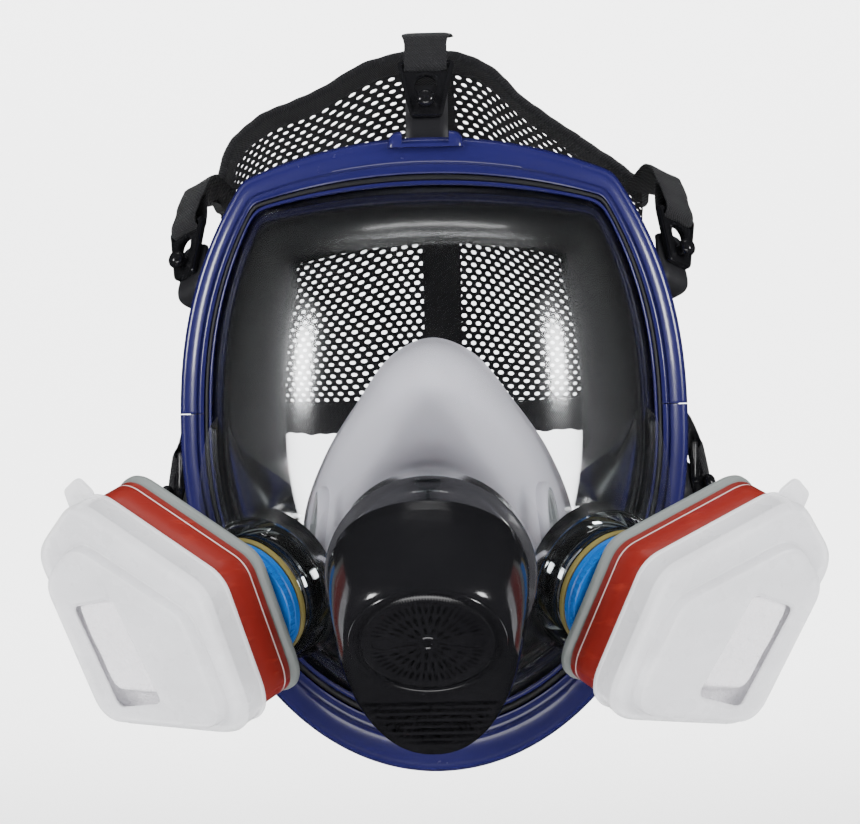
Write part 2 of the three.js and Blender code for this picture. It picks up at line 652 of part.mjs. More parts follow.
/** A closed outline in the front view, mirrored from its right half, sampled round a middle point. */
function sampledOutline(half, middle, count = 24) {
  const right = half.map(([x, z]) => vec(x, 0, z));
  const left = half.slice(1, -1).reverse().map(([x, z]) => vec(-x, 0, z));
  const fine = smooth([...right, ...left], 400).slice(0, 400);
  const polar = fine.map((p) => ({ p, angle: Math.atan2(p.z - middle, p.x) }));
  const found = [];
  for (let i = 0; i < count; i++) {
    const angle = -Math.PI / 2 + ((i + 0.5) / count) * 2 * Math.PI;
    const off = (q) => Math.abs(Math.atan2(Math.sin(q.angle - angle), Math.cos(q.angle - angle)));
    found.push(polar.reduce((best, q) => (off(q) < off(best) ? q : best)).p);
  }
  return found;
}

const CUP = {
  edge: [[0, -84], [18, -82], [34, -74], [45, -58], [48, -34], [40, -10], [27, 10], [14, 26], [0, 31.5]],
  middle: -42,
  frontRadius: 30.4,
  wall: 2.2,
};
const cupEdge = sampledOutline(CUP.edge, CUP.middle);

/** A ring of the nose cup: `along` runs from its front ring to the edge that meets the face. */
function cupRing(along, less) {
  return cupEdge.map((edge) => {
    const angle = Math.atan2(edge.z - CUP.middle, edge.x);
    const spread = 1 - (1 - along) ** (1.9 + 0.6 * Math.sin(angle));
    const front = vec((CUP.frontRadius - less) * Math.cos(angle), (CUP.frontRadius - less) * Math.sin(angle), -13);
    front.applyMatrix4(mouthFrame);
    const inwards = vec(edge.x, 0, edge.z - CUP.middle).setLength(less);
    const rim = edge.clone().sub(inwards);
    const backY = -10 - 26 * Math.max(0, (edge.z + 10) / 41) ** 1.5 - 10 * Math.max(0, (-60 - edge.z) / 29);
    return vec(mix(front.x, rim.x, spread), mix(front.y, backY, along) + less * (1 - along) * 0.8, mix(front.z, rim.z, spread));
  });
}

const CUP_STEPS = [0, 0.1, 0.3, 0.6, 1];
const cupRings = [
  ...CUP_STEPS.map((along) => cupRing(along, 0)),
  ...[...CUP_STEPS].reverse().map((along) => cupRing(along, CUP.wall)),
];
let noseCup = solid(loft(cupRings, true));
const CUP_VALVE = { at: vec(40.6, -63, -34), radius: 13 };
const cupValveFrame = (side) => {
  const z = vec(0.983, -0.14, 0.12).normalize();
  const x = vec(0, 1, 0).addScaledVector(z, -z.y).normalize();
  const frame = new THREE.Matrix4().makeBasis(x, z.clone().cross(x), z).setPosition(CUP_VALVE.at);
  return side > 0 ? frame : mirrorX.clone().multiply(frame);
};
const atCupValve = (geometry, side) => closed(geometry.clone().applyMatrix4(cupValveFrame(side)));
for (const side of [-1, 1]) {
  noseCup = noseCup
    .add(solid(atCupValve(disc(CUP_VALVE.radius + 2.6, -3, 1.4), side)))
    .subtract(solid(atCupValve(disc(CUP_VALVE.radius + GAP, -12, 8), side)));
}
add("nose_cup", shapeOf(noseCup), WHITE_SILICONE);

for (const [label, side] of [["left", -1], ["right", 1]]) {
  const seat = solid(ring(CUP_VALVE.radius - 2.4, CUP_VALVE.radius, -2.4, 1))
    .add(solid(box(CUP_VALVE.radius * 2 - 3, 2.2, 1.4, 0, 0, 0)))
    .add(solid(box(2.2, CUP_VALVE.radius * 2 - 3, 1.4, 0, 0, 0)));
  add(`${label}_cup_valve_seat`, atCupValve(shapeOf(seat), side), CLEAR_SILICONE);
  add(`${label}_cup_valve_flap`, atCupValve(disc(CUP_VALVE.radius - 0.8, -3.6, -2.7), side), CLEAR_SILICONE);
}

// ---- Face seal -------------------------------------------------------------------------------------------

const OPENING = [
  [0, -90], [20, -87], [36, -78], [46, -62], [51, -40], [56, -18], [61, 2], [60, 18], [56, 34], [53.5, 48],
  [55, 62], [54, 74], [46, 83], [24, 87], [0, 88],
];
const openingHalf = (grow) => OPENING.map(([x, z]) => {
  const length = Math.hypot(x, z);
  return [x * (1 + grow / length), z * (1 + grow / length)];
});
const openingLoop = (grow, y) => {
  const half = openingHalf(grow);
  return ANGLES.map((angle) => {
    const [x, z] = rayPoint(half, angle);
    return vec(x, y, z);
  });
};
const between = (a, b, t, out = 0) =>
  a.map((p, i) => {
    const q = p.clone().lerp(b[i], t);
    const flat = Math.hypot(q.x, q.z);
    return vec(q.x * (1 + out / flat), q.y, q.z * (1 + out / flat));
  });

const neckLoop = frameLoop(6.2, 11.6);
const outerLip = openingLoop(9.5, -3);
const innerFront = frameLoop(16, 5.5);
const innerLip = openingLoop(2.4, -11);
let seal = solid(loft([
  frameLoop(3.6, 3.1),
  frameLoop(3.6, 8.3),
  frameLoop(6.2, 8.3),
  neckLoop,
  between(neckLoop, outerLip, 0.3, 0),
  between(neckLoop, outerLip, 0.65, 4),
  outerLip,
  openingLoop(5.5, SEAL_BACK_Y),
  openingLoop(1.2, SEAL_BACK_Y - 1.6),
  openingLoop(0, SEAL_BACK_Y - 5),
  innerLip,
  innerFront,
  frameLoop(15.4, 3.1),
], true));

// ---- Studs, buckles and straps ---------------------------------------------------------------------------

// Where each stud stands on its lug, which way its strap pulls and which way its ball points.
const ANCHORS = [
  { label: "top", at: [0, -44.6, 115.5], pull: [0, 0.24, 0.97], out: [0, -0.97, 0.24], root: [0, -37, 86] },
  {
    label: "left_temple",
    at: [-88.5, -23, 62],
    pull: [0.03, 0.4, 0.92],
    out: [-0.72, -0.6, 0.2],
    root: [-70, -18, 45],
  },
  {
    label: "right_temple",
    at: [88.5, -23, 62],
    pull: [-0.03, 0.4, 0.92],
    out: [0.72, -0.6, 0.2],
    root: [70, -18, 45],
  },
  {
    label: "left_cheek",
    at: [-94, -15, -22],
    pull: [-0.1, 0.84, 0.54],
    out: [-0.97, -0.05, 0.2],
    root: [-77, -20, -36],
  },
  {
    label: "right_cheek",
    at: [94, -15, -22],
    pull: [0.1, 0.84, 0.54],
    out: [0.97, -0.05, 0.2],
    root: [77, -20, -36],
  },
].map((anchor) => {
  const up = vec(...anchor.pull).normalize();
  const out = vec(...anchor.out).addScaledVector(up, -vec(...anchor.out).dot(up)).normalize();
  const matrix = new THREE.Matrix4().makeBasis(up.clone().cross(out), up, out).setPosition(...anchor.at);
  return { ...anchor, up, out, matrix };
});

for (const anchor of ANCHORS) {
  const at = (geometry) => closed(geometry.clone().applyMatrix4(anchor.matrix));
  const local = (x, y, z) => vec(x, y, z).applyMatrix4(anchor.matrix);
  const lugPath = [vec(...anchor.root), local(0, -11, -4.2), local(0, -3, -3.5), local(0, 7, -3.5)];
  const lugAcross = vec(0, 0, 0).setFromMatrixColumn(anchor.matrix, 0);
  const lug = solid(strap(lugPath, lugAcross, lugAcross, 15, 4, 3.8));
  const ballHole = solid(at(disc(STUD.neckRadius + 0.2, -8, 3)));
  seal = seal.add(lug).subtract(ballHole);

  const stud = turned([
    [0, -6.6], [3.4, -6.6], [3.4, -5.7], [STUD.neckRadius, -5.7], [STUD.neckRadius, 2.4], [3.3, 3.6], [2.9, 5.6],
    [0, 6.9],
  ], 12);
  add(`${anchor.label}_stud`, at(stud), BLACK_GLOSS);

  const { topHalfWidth, footRadius, length, thickness } = BUCKLE;
  const plate = roundedOutline(
    [[-footRadius, -footRadius], [footRadius, -footRadius], [topHalfWidth, length], [-topHalfWidth, length]]
      .map(([x, y]) => new THREE.Vector2(x, y)), 2.2);
  const half = thickness / 2;
  const buckle = solid(extruded(plate, -half, half))
    .subtract(solid(disc(STUD.neckRadius + 0.4, -3, 3)))
    .subtract(solid(box(3.4, 5, 6, 0, 3.4, 0)))
    .subtract(solid(new THREE.CylinderGeometry(3.9, 3.9, 6, 12).rotateX(Math.PI / 2).translate(0, 6, 0)))
    .subtract(solid(box(15.6, 2.4, 6, 0, length - 3.2, 0)));
  add(`${anchor.label}_buckle`, at(shapeOf(buckle)), BLACK_GLOSS);
}
add("face_seal", shapeOf(seal), BLACK_RUBBER);

// ---- Head harness ----------------------------------------------------------------------------------------

const openCurve = (points) => new THREE.CatmullRomCurve3(points.map((p) => vec(...p)), false, "centripetal");

// The upper and lower edges of the net, from the wearer's right to left as seen from the front.
const CROWN = openCurve([
  [-80, 6, 86], [-75, 12, 107], [-64, 20, 119], [-46, 30, 128], [-22, 40, 142], [0, 42, 145.5], [19, 40, 140],
  [34, 34, 125], [51, 25, 111], [67, 14, 98], [79, 6, 87],
]);
const NAPE = openCurve([
  [-72, 52, 2], [-62, 78, 0], [-44, 94, -2], [-20, 101, -3], [0, 103, -3], [20, 101, -3], [44, 94, -2],
  [62, 78, 0], [72, 52, 2],
]);

/** A point of the net: `u` runs from left to right, `v` from its crown edge down to its nape edge. */
function netPoint(u, v) {
  const top = CROWN.getPoint(u);
  const bottom = NAPE.getPoint(u);
  const fold = 4 * Math.exp(-(((u - 0.7) / 0.05) ** 2)) * Math.sin(Math.PI * v);
  const belly = vec(top.x * 0.1, 66, 12).multiplyScalar(1);
  const p = top.clone().lerp(bottom, v);
  const arch = Math.sin(Math.PI * v) * (0.35 + 0.65 * Math.sin(Math.PI * u));
  return p.addScaledVector(belly, arch * 0.62).add(vec(0, fold, 0));
}

/** A patch of the net's surface between two pairs of parameters. */
function netPatch(u0, u1, v0, v1, across, down) {
  const grid = [];
  for (let i = 0; i <= across; i++) {
    const column = [];
    for (let j = 0; j <= down; j++) column.push(netPoint(mix(u0, u1, i / across), mix(v0, v1, j / down)));
    grid.push(column);
  }
  return grid;
}

add("net_left", sheet(netPatch(0.012, 0.455, 0.062, 0.905, 9, 9), 1.4), BLACK_MESH);
add("net_right", sheet(netPatch(0.545, 0.988, 0.062, 0.905, 9, 9), 1.4), BLACK_MESH);
add("net_centre_band", sheet(netPatch(0.459, 0.541, 0.062, 0.905, 2, 9), 2), BLACK_WEBBING);
add("net_crown_binding", sheet(netPatch(0, 1, 0, 0.058, 22, 1), 4), BLACK_WEBBING);
add("net_nape_binding", sheet(netPatch(0, 1, 0.909, 1, 18, 1), 2.4), BLACK_WEBBING);

const STRAP_ENDS = {
  top: { to: [0, 36, 149.2], via: [0, -14, 143.5], across: [1, 0, 0] },
  left_temple: { to: [-86, 7, 87], via: [-92, -8, 88], across: [-0.2, 0.9, -0.3] },
  right_temple: { to: [85.5, 7, 88], via: [92, -8, 88], across: [0.2, 0.9, -0.3] },
  left_cheek: { to: [-73.4, 64, 1], via: [-95, 26, -3], across: [0, 0, 1] },
  right_cheek: { to: [73.4, 64, 1], via: [93, 26, -3], across: [0, 0, 1] },
};
for (const anchor of ANCHORS) {
  const end = STRAP_ENDS[anchor.label];
  const start = vec(...anchor.at).addScaledVector(anchor.up, BUCKLE.length + 1.6);
  const next = vec(...anchor.at).addScaledVector(anchor.up, BUCKLE.length + 6);
  const across = vec(0, 0, 0).setFromMatrixColumn(anchor.matrix, 0);
  const finish = vec(...end.across);
  if (finish.dot(across) < 0) finish.negate();
  const path = [start, next, vec(...end.via), vec(...end.to)];
  add(`${anchor.label}_strap`, strap(path, across, finish, BUCKLE.strapWidth - 1, 7), BLACK_WEBBING);
}

export default respirator;
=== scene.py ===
"""The looks of a full-face respirator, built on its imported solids.

Every size is in millimetres here and turned into metres when a mesh is made. +Z is up, the mask looks
along -Y, and the origin is the middle of the face opening in the rubber seal.
"""
import logging
import math
from dataclasses import dataclass
from enum import Enum
from typing import Callable, Iterable, Optional, Sequence, Union

import bmesh
import bpy
import numpy as np
from mathutils import Matrix, Vector


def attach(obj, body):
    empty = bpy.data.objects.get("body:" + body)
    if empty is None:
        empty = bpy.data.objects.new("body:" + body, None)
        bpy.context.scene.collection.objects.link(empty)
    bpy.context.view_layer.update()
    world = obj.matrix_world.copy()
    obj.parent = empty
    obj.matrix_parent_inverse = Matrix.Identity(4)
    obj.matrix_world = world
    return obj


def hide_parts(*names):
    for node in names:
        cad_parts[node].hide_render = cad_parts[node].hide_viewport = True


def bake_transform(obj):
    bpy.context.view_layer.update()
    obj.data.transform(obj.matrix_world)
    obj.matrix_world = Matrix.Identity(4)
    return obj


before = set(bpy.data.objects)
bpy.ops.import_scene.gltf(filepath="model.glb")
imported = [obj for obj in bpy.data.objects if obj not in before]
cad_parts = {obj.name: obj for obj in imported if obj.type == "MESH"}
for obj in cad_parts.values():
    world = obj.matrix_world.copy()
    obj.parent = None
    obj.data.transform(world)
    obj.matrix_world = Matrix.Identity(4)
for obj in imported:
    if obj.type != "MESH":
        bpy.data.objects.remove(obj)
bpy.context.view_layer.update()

MM = 0.001
log = logging.getLogger("respirator")
Value = Union[float, Sequence[float], "Sock"]
Triple = tuple[float, float, float]
Pair = tuple[float, float]
Shape = tuple[np.ndarray, list]
Piece = bpy.types.Object
Socket = bpy.types.NodeSocket


# ---- Shader building -------------------------------------------------------------------------------------


class Sock:
    """A number socket of a node tree that can be used in arithmetic."""

    def __init__(self, paint: "Paint", socket: Socket) -> None:
        """Wraps one output socket of a paint's tree."""
        self.paint = paint
        self.socket = socket

    def _math(self, operation: str, *values: Value) -> "Sock":
        """Adds one Math node."""
        node = self.paint.add("ShaderNodeMath", dict(enumerate(values)), {"operation": operation})
        return Sock(self.paint, node.outputs[0])

    def __add__(self, other: Value) -> "Sock":
        """Sum."""
        return self._math("ADD", self, other)

    def __radd__(self, other: Value) -> "Sock":
        """Sum."""
        return self._math("ADD", other, self)

    def __sub__(self, other: Value) -> "Sock":
        """Difference."""
        return self._math("SUBTRACT", self, other)

    def __rsub__(self, other: Value) -> "Sock":
        """Difference."""
        return self._math("SUBTRACT", other, self)

    def __mul__(self, other: Value) -> "Sock":
        """Product."""
        return self._math("MULTIPLY", self, other)

    def __rmul__(self, other: Value) -> "Sock":
        """Product."""
        return self._math("MULTIPLY", other, self)

    def __truediv__(self, other: Value) -> "Sock":
        """Quotient."""
        return self._math("DIVIDE", self, other)

    def wave(self) -> "Sock":
        """Sine."""
        return self._math("SINE", self)

    def above(self, other: Value) -> "Sock":
        """1 where this is greater, else 0."""
        return self._math("GREATER_THAN", self, other)

    def least(self, other: Value) -> "Sock":
        """The smaller of the two."""
        return self._math("MINIMUM", self, other)

    def most(self, other: Value) -> "Sock":
        """The larger of the two."""
        return self._math("MAXIMUM", self, other)

    def size(self) -> "Sock":
        """Its value without a sign."""
        return self._math("ABSOLUTE", self)

    def part(self) -> "Sock":
        """What is left over a whole number."""
        return self._math("FRACT", self)

    def smooth(self, low: float, high: float) -> "Sock":
        """0 below `low`, 1 above `high`, and a soft step between."""
        node = self.paint.add(
            "ShaderNodeMapRange",
            {
                "Value": self,
                "From Min": low,
                "From Max": high,
            },
            {"interpolation_type": "SMOOTHSTEP"},
        )
        return Sock(self.paint, node.outputs[0])


class Paint:
    """One material while its nodes are put together."""

    def __init__(self, name: str) -> None:
        """Starts an empty material of that name."""
        self.material = bpy.data.materials.new(name)
        self.material.use_nodes = True
        self.tree = self.material.node_tree
        self.tree.nodes.clear()

    def add(
        self,
        kind: str,
        inputs: Optional[dict[Union[int, str], Value]] = None,
        settings: Optional[dict[str, object]] = None,
    ) -> bpy.types.Node:
        """Adds a node.

        Args:
            kind: The node's type.
            inputs: Values or sockets for its input sockets, by name or number.
            settings: Its own settings.

        Returns:
            The new node.
        """
        node = self.tree.nodes.new(kind)
        for key, value in (settings or {}).items():
            setattr(node, key, value)
        for key, value in (inputs or {}).items():
            target = node.inputs[key]
            if isinstance(value, Sock):
                self.tree.links.new(value.socket, target)
            elif isinstance(value, Socket):
                self.tree.links.new(value, target)
            elif isinstance(value, (tuple, list)) and target.type == "RGBA" and len(value) == 3:
                target.default_value = (*value, 1.0)
            else:
                target.default_value = value
        return node

    def place(self, which: str = "Object") -> Socket:
        """The coordinates of a point: Object or UV."""
        return self.add("ShaderNodeTexCoord").outputs[which]

    def axes(self, vector: Socket) -> tuple[Sock, Sock, Sock]:
        """The three numbers of a vector socket."""
        node = self.add("ShaderNodeSeparateXYZ", {0: vector})
        return tuple(Sock(self, out) for out in node.outputs)

    def noise(self, scale: float, detail: float = 3.0, stretch: Triple = (1.0, 1.0, 1.0)) -> Sock:
        """Smooth noise from 0 to 1 over Object coordinates, per metre."""
        mapped = self.add("ShaderNodeMapping", {"Vector": self.place(), "Scale": stretch})
        node = self.add("ShaderNodeTexNoise", {"Vector": mapped.outputs[0], "Scale": scale, "Detail": detail})
        return Sock(self, node.outputs[0])

    def cells(self, scale: float) -> Sock:
        """Distance to the nearest cell middle over Object coordinates."""
        node = self.add("ShaderNodeTexVoronoi", {"Vector": self.place(), "Scale": scale})
        return Sock(self, node.outputs[0])

    def blend(self, amount: Value, low: Value, high: Value) -> Socket:
        """A colour between two, by an amount."""
        node = self.add("ShaderNodeMix", {0: amount, 6: low, 7: high}, {"data_type": "RGBA"})
        return node.outputs[2]

    def bump(self, height: Sock, strength: float, distance: float) -> Socket:
        """A normal that follows a height, `distance` in metres."""
        node = self.add("ShaderNodeBump", {"Strength": strength, "Distance": distance, "Height": height})
        return node.outputs[0]

    def principled(self, **inputs: Value) -> Socket:
        """A Principled shader; underscores stand for spaces in the socket names."""
        node = self.add("ShaderNodeBsdfPrincipled", {k.replace("_", " "): v for k, v in inputs.items()})
        return node.outputs[0]

    def mixed(self, amount: Value, low: Socket, high: Socket) -> Socket:
        """Two shaders mixed by an amount."""
        return self.add("ShaderNodeMixShader", {0: amount, 1: low, 2: high}).outputs[0]

    def finish(self, shader: Socket) -> bpy.types.Material:
        """Ends the tree in that shader and gives the material."""
        self.add("ShaderNodeOutputMaterial", {"Surface": shader})
        return self.material


# ---- Finishes --------------------------------------------------------------------------------------------


@dataclass(frozen=True)
class Moulded:
    """A moulded plastic or rubber: a colour, a gloss, faint mottling and a fine surface."""

    name: str
    slot: str
    colour: Triple
    roughness: float = 0.3
    mottle: float = 0.12
    grain: float = 0.04
    grain_scale: float = 900.0
    coat: float = 0.0
    scatter: float = 0.0

    def material(self) -> bpy.types.Material:
        """Builds the material."""
        p = Paint(self.name)
        cloudy = p.noise(38.0, 4.0)
        wear = p.noise(210.0, 6.0, (1.0, 3.0, 1.0))
        light = tuple(min(1.0, c * (1.0 + self.mottle) + 0.002) for c in self.colour)
        dark = tuple(c * (1.0 - self.mottle) for c in self.colour)
        shine = (cloudy - 0.5) * 0.10 + (wear - 0.5) * 0.12 + self.roughness
        height = p.noise(self.grain_scale, 3.0) * 0.7 + p.noise(90.0, 2.0) * 0.5
        inputs: dict[str, Value] = {
            "Base_Color": p.blend(cloudy, dark, light),
            "Roughness": shine.most(0.04),
            "Normal": p.bump(height, self.grain, 0.0004),
        }
        if self.coat:
            inputs["Coat_Weight"] = self.coat
            inputs["Coat_Roughness"] = 0.06
        if self.scatter:
            inputs["Subsurface_Weight"] = self.scatter
            inputs["Subsurface_Radius"] = (0.006, 0.005, 0.005)
            inputs["Subsurface_Scale"] = 0.6
        return p.finish(p.principled(**inputs))


@dataclass(frozen=True)
class Clear:
    """A see-through plastic: glossy where it is seen at a slant, and tinted."""

    name: str
    slot: str
    tint: Triple = (0.93, 0.95, 0.96)
    body: float = 0.06
    gloss: float = 0.9
    roughness: float = 0.03
    edge: float = 0.5

    def material(self) -> bpy.types.Material:
        """Builds the material."""
        p = Paint(self.name)
        facing = p.add("ShaderNodeLayerWeight", {"Blend": 0.32})
        fresnel = p.add("ShaderNodeFresnel", {"IOR": 1.52})
        dust = p.noise(1400.0, 2.0).smooth(0.62, 0.8) * 0.05
        smear = p.noise(60.0, 5.0).smooth(0.4, 0.9) * 0.02
        through = p.add("ShaderNodeBsdfTransparent", {"Color": self.tint}).outputs[0]
        solid = p.principled(
            Base_Color=tuple(0.16 * c for c in self.tint), Roughness=0.25, Specular_IOR_Level=0.5
        )
        shell = p.mixed(
            Sock(p, facing.outputs[1]) * self.edge * 0.5 + dust + smear + self.body, through, solid
        )
        shine = p.add(
            "ShaderNodeBsdfGlossy", {"Color": (1.0, 1.0, 1.0), "Roughness": self.roughness}
        ).outputs[0]
        return p.finish(p.mixed(Sock(p, fresnel.outputs[0]) * self.gloss, shell, shine))


@dataclass(frozen=True)
class Milky:
    """A translucent plastic that clouds what lies close behind it."""

    name: str
    slot: str
    colour: Triple = (0.83, 0.83, 0.86)
    alpha: float = 0.72
    roughness: float = 0.28

    def material(self) -> bpy.types.Material:
        """Builds the material."""
        p = Paint(self.name)
        flow = p.noise(30.0, 3.0, (1.0, 1.0, 2.4))
        light = tuple(min(1.0, c * 1.06) for c in self.colour)
        dark = tuple(c * 0.92 for c in self.colour)
        cloud = (flow - 0.5) * 0.16 + self.alpha
        skin = p.principled(
            Base_Color=p.blend(flow, dark, light),
            Roughness=(p.noise(120.0, 4.0) - 0.5) * 0.12 + self.roughness,
            Alpha=cloud,
            Normal=p.bump(p.noise(160.0, 3.0), 0.08, 0.0004),
        )
        return p.finish(skin)


@dataclass(frozen=True)
class Felt:
    """Cotton felt: short tangled fibres on a soft, lumpy surface."""

    name: str
    slot: str
    colour: Triple = (0.90, 0.88, 0.92)

    def material(self) -> bpy.types.Material:
        """Builds the material."""
        p = Paint(self.name)
        lumps = p.noise(260.0, 4.0)
        hairs = p.noise(1500.0, 6.0, (1.0, 0.25, 1.0)) * p.noise(900.0, 4.0, (0.3, 1.0, 1.0))
        pits = p.cells(620.0)
        dark = tuple(c * 0.84 for c in self.colour)
        height = lumps * 0.8 + hairs * 1.2 + pits * 0.35
        return p.finish(
            p.principled(
                Base_Color=p.blend(lumps * 0.6 + hairs * 0.8, dark, self.colour),
                Roughness=0.95,
                Sheen_Weight=0.3,
                Sheen_Roughness=0.5,
                Normal=p.bump(height, 0.9, 0.0009),
            )
        )


class Weave(Enum):
    """The ways a woven piece is made."""

    TWILL = "twill"
    KNIT = "knit"


@dataclass(frozen=True)
class Cloth:
    """A woven or knitted cloth; its UV map runs in millimetres along and across the piece."""

    name: str
    slot: str
    weave: Weave
    colour: Triple = (0.006, 0.006, 0.007)
    pitch: float = 1.1
    height: float = 0.00035

    def material(self) -> bpy.types.Material:
        """Builds the material."""
        p = Paint(self.name)
        along, across, _ = p.axes(p.place("UV"))
        turn = 2.0 * math.pi / self.pitch
        if self.weave is Weave.TWILL:
            ribs = (along * (turn * 0.55)).wave() * 0.5 + 0.5
            slant = ((along + across * 0.8) * turn).wave() * 0.5 + 0.5
            threads = ribs * 0.35 + slant * (((along - across * 0.8) * turn).wave() * 0.25 + 0.75)
        else:
            loops = (along * turn).wave().size() + (across * (turn * 0.6)).wave().size()
            threads = loops * 0.5
        fuzz = p.noise(2600.0, 4.0)
        light = tuple(min(1.0, c * 2.2 + 0.003) for c in self.colour)
        return p.finish(
            p.principled(
                Base_Color=p.blend(threads * 0.5 + fuzz * 0.4, self.colour, light),
                Roughness=0.84,
                Sheen_Weight=0.04,
                Sheen_Roughness=0.45,
                Normal=p.bump(threads + fuzz * 0.5, 0.8, self.height),
            )
        )


@dataclass(frozen=True)
class Foil:
    """The band round a cartridge: a coated paper with faint creases and one thin line."""

    name: str
    slot: str
    colour: Triple = (0.20, 0.014, 0.010)
    worn: Triple = (0.28, 0.026, 0.016)
    line: Triple = (0.85, 0.78, 0.76)

    def material(self) -> bpy.types.Material:
        """Builds the material."""
        p = Paint(self.name)
        along, across, _ = p.axes(p.place("UV"))
        creases = p.noise(75.0, 2.0, (1.0, 1.0, 4.0)).smooth(0.55, 0.8)
        stripe = (across - 3.0).size().smooth(0.34, 0.22)
        paper = p.noise(420.0, 4.0)
        red = p.blend(creases * 0.8 + paper * 0.2, self.colour, self.worn)
        ink = p.blend(stripe * 0.7, red, self.line)
        return p.finish(
            p.principled(
                Base_Color=ink,
                Roughness=paper * 0.12 + 0.3,
                Normal=p.bump(creases + paper * 0.15, 0.35, 0.0005),
            )
        )


@dataclass(frozen=True)
class Metal:
    """A plain plated metal with fine turning marks."""

    name: str
    slot: str
    colour: Triple = (0.62, 0.63, 0.65)

    def material(self) -> bpy.types.Material:
        """Builds the material."""
        p = Paint(self.name)
        lines = p.noise(700.0, 4.0, (1.0, 1.0, 8.0))
        dark = tuple(c * 0.8 for c in self.colour)
        return p.finish(
            p.principled(
                Base_Color=p.blend(lines, dark, self.colour),
                Metallic=1.0,
                Roughness=lines * 0.2 + 0.2,
                Normal=p.bump(lines, 0.1, 0.0002),
            )
        )


class Finishes:
    """Every finish of the mask, each made into a material once."""

    BLUE = Moulded("navy_plastic", "blue_plastic", (0.012, 0.011, 0.075), 0.24, 0.10, 0.03, 700.0, 0.35)
    BLACK_RUBBER = Moulded("black_rubber", "black_rubber", (0.012, 0.012, 0.014), 0.48, 0.2, 0.12, 1600.0)
    BLACK_GLOSS = Moulded("black_gloss", "black_gloss", (0.006, 0.006, 0.007), 0.16, 0.2, 0.03, 800.0, 0.25)
    SILICONE = Moulded("white_silicone", "white_silicone", (0.76, 0.73, 0.78), 0.42, 0.03, 0.05, 1200.0, 0.0, 0.15)
    SOFT_CLEAR = Moulded("pale_silicone", "clear_silicone", (0.45, 0.46, 0.46), 0.35, 0.08, 0.04, 900.0)
    OLIVE = Moulded("olive_rubber", "olive_rubber", (0.20, 0.165, 0.05), 0.45, 0.12, 0.06, 900.0)
    SKY = Moulded("bright_blue_plastic", "bayonet_blue", (0.005, 0.13, 0.50), 0.3, 0.1, 0.04)
    GREY = Moulded("grey_plastic", "grey_plastic", (0.17, 0.185, 0.18), 0.34, 0.1, 0.08, 1300.0)
    CHARCOAL = Moulded("charcoal", "charcoal", (0.01, 0.01, 0.01), 0.95, 0.5, 1.0, 700.0)
    CLEAR = Clear("clear_visor", "clear_plastic", (0.95, 0.96, 0.97), 0.004, 1.0, 0.15, 0.10)
    COLLAR = Clear("clear_collar", "clear_plastic", (0.86, 0.89, 0.9), 0.03, 1.0, 0.05, 0.25)
    SMOKE = Clear("smoky_collar", "smoky_plastic", (0.30, 0.30, 0.34), 0.72, 0.9, 0.08, 0.3)
    MILK = Milky("milky_plastic", "milky_plastic")
    FELT = Felt("white_felt", "white_felt")
    WEBBING = Cloth("black_webbing", "black_webbing", Weave.TWILL)
    MESH = Cloth("black_mesh", "black_mesh", Weave.KNIT, (0.004, 0.004, 0.005), 0.8, 0.0002)
    LABEL = Foil("red_label", "red_label")
    STEEL = Metal("plated_steel", "steel")

    _made: dict[str, bpy.types.Material] = {}

    @classmethod
    def material(cls, finish: object) -> bpy.types.Material:
        """The material of a finish, made when first asked for."""
        if finish.name not in cls._made:
            cls._made[finish.name] = finish.material()
        return cls._made[finish.name]


# ---- Mesh building ---------------------------------------------------------------------------------------


def catmull(points: Sequence[Triple], places: np.ndarray, closed: bool = False) -> np.ndarray:
    """Points on a centripetal Catmull-Rom curve.

    Args:
        points: The points that it passes through.
        places: Where to read it, from 0 at the first point to 1 at the last.
        closed: Whether it runs back to the first point.

    Returns:
        An array of the points read.
    """
    p = np.asarray(points, float)
    n = len(p)
    spans = n if closed else n - 1
    t = np.clip(np.asarray(places, float), 0.0, 1.0) * spans
    k = np.minimum(t.astype(int), spans - 1)
    w = (t - k)[:, None]
    if closed:
        q = [p[(k + i - 1) % n] for i in range(4)]
    else:
        extended = np.vstack([2 * p[0] - p[1], p, 2 * p[-1] - p[-2]])
        q = [extended[k + i] for i in range(4)]
    gaps = [np.maximum(np.linalg.norm(q[i + 1] - q[i], axis=1), 1e-6)[:, None] ** 0.5 for i in range(3)]
    m1 = ((q[1] - q[0]) / gaps[0] - (q[2] - q[0]) / (gaps[0] + gaps[1]) + (q[2] - q[1]) / gaps[1]) * gaps[1]
    m2 = ((q[2] - q[1]) / gaps[1] - (q[3] - q[1]) / (gaps[1] + gaps[2]) + (q[3] - q[2]) / gaps[2]) * gaps[1]
    c2 = -3 * q[1] + 3 * q[2] - 2 * m1 - m2
    c3 = 2 * q[1] - 2 * q[2] + m1 + m2
    return q[1] + m1 * w + c2 * w**2 + c3 * w**3


def smooth_rings(rings: Sequence[np.ndarray], count: int) -> list[np.ndarray]:
    """More rings on smooth curves through the ones given."""
    stack = np.stack(rings)
    places = np.linspace(0.0, 1.0, count)
    columns = [catmull(stack[:, j], places) for j in range(stack.shape[1])]
    return list(np.stack(columns, axis=1))


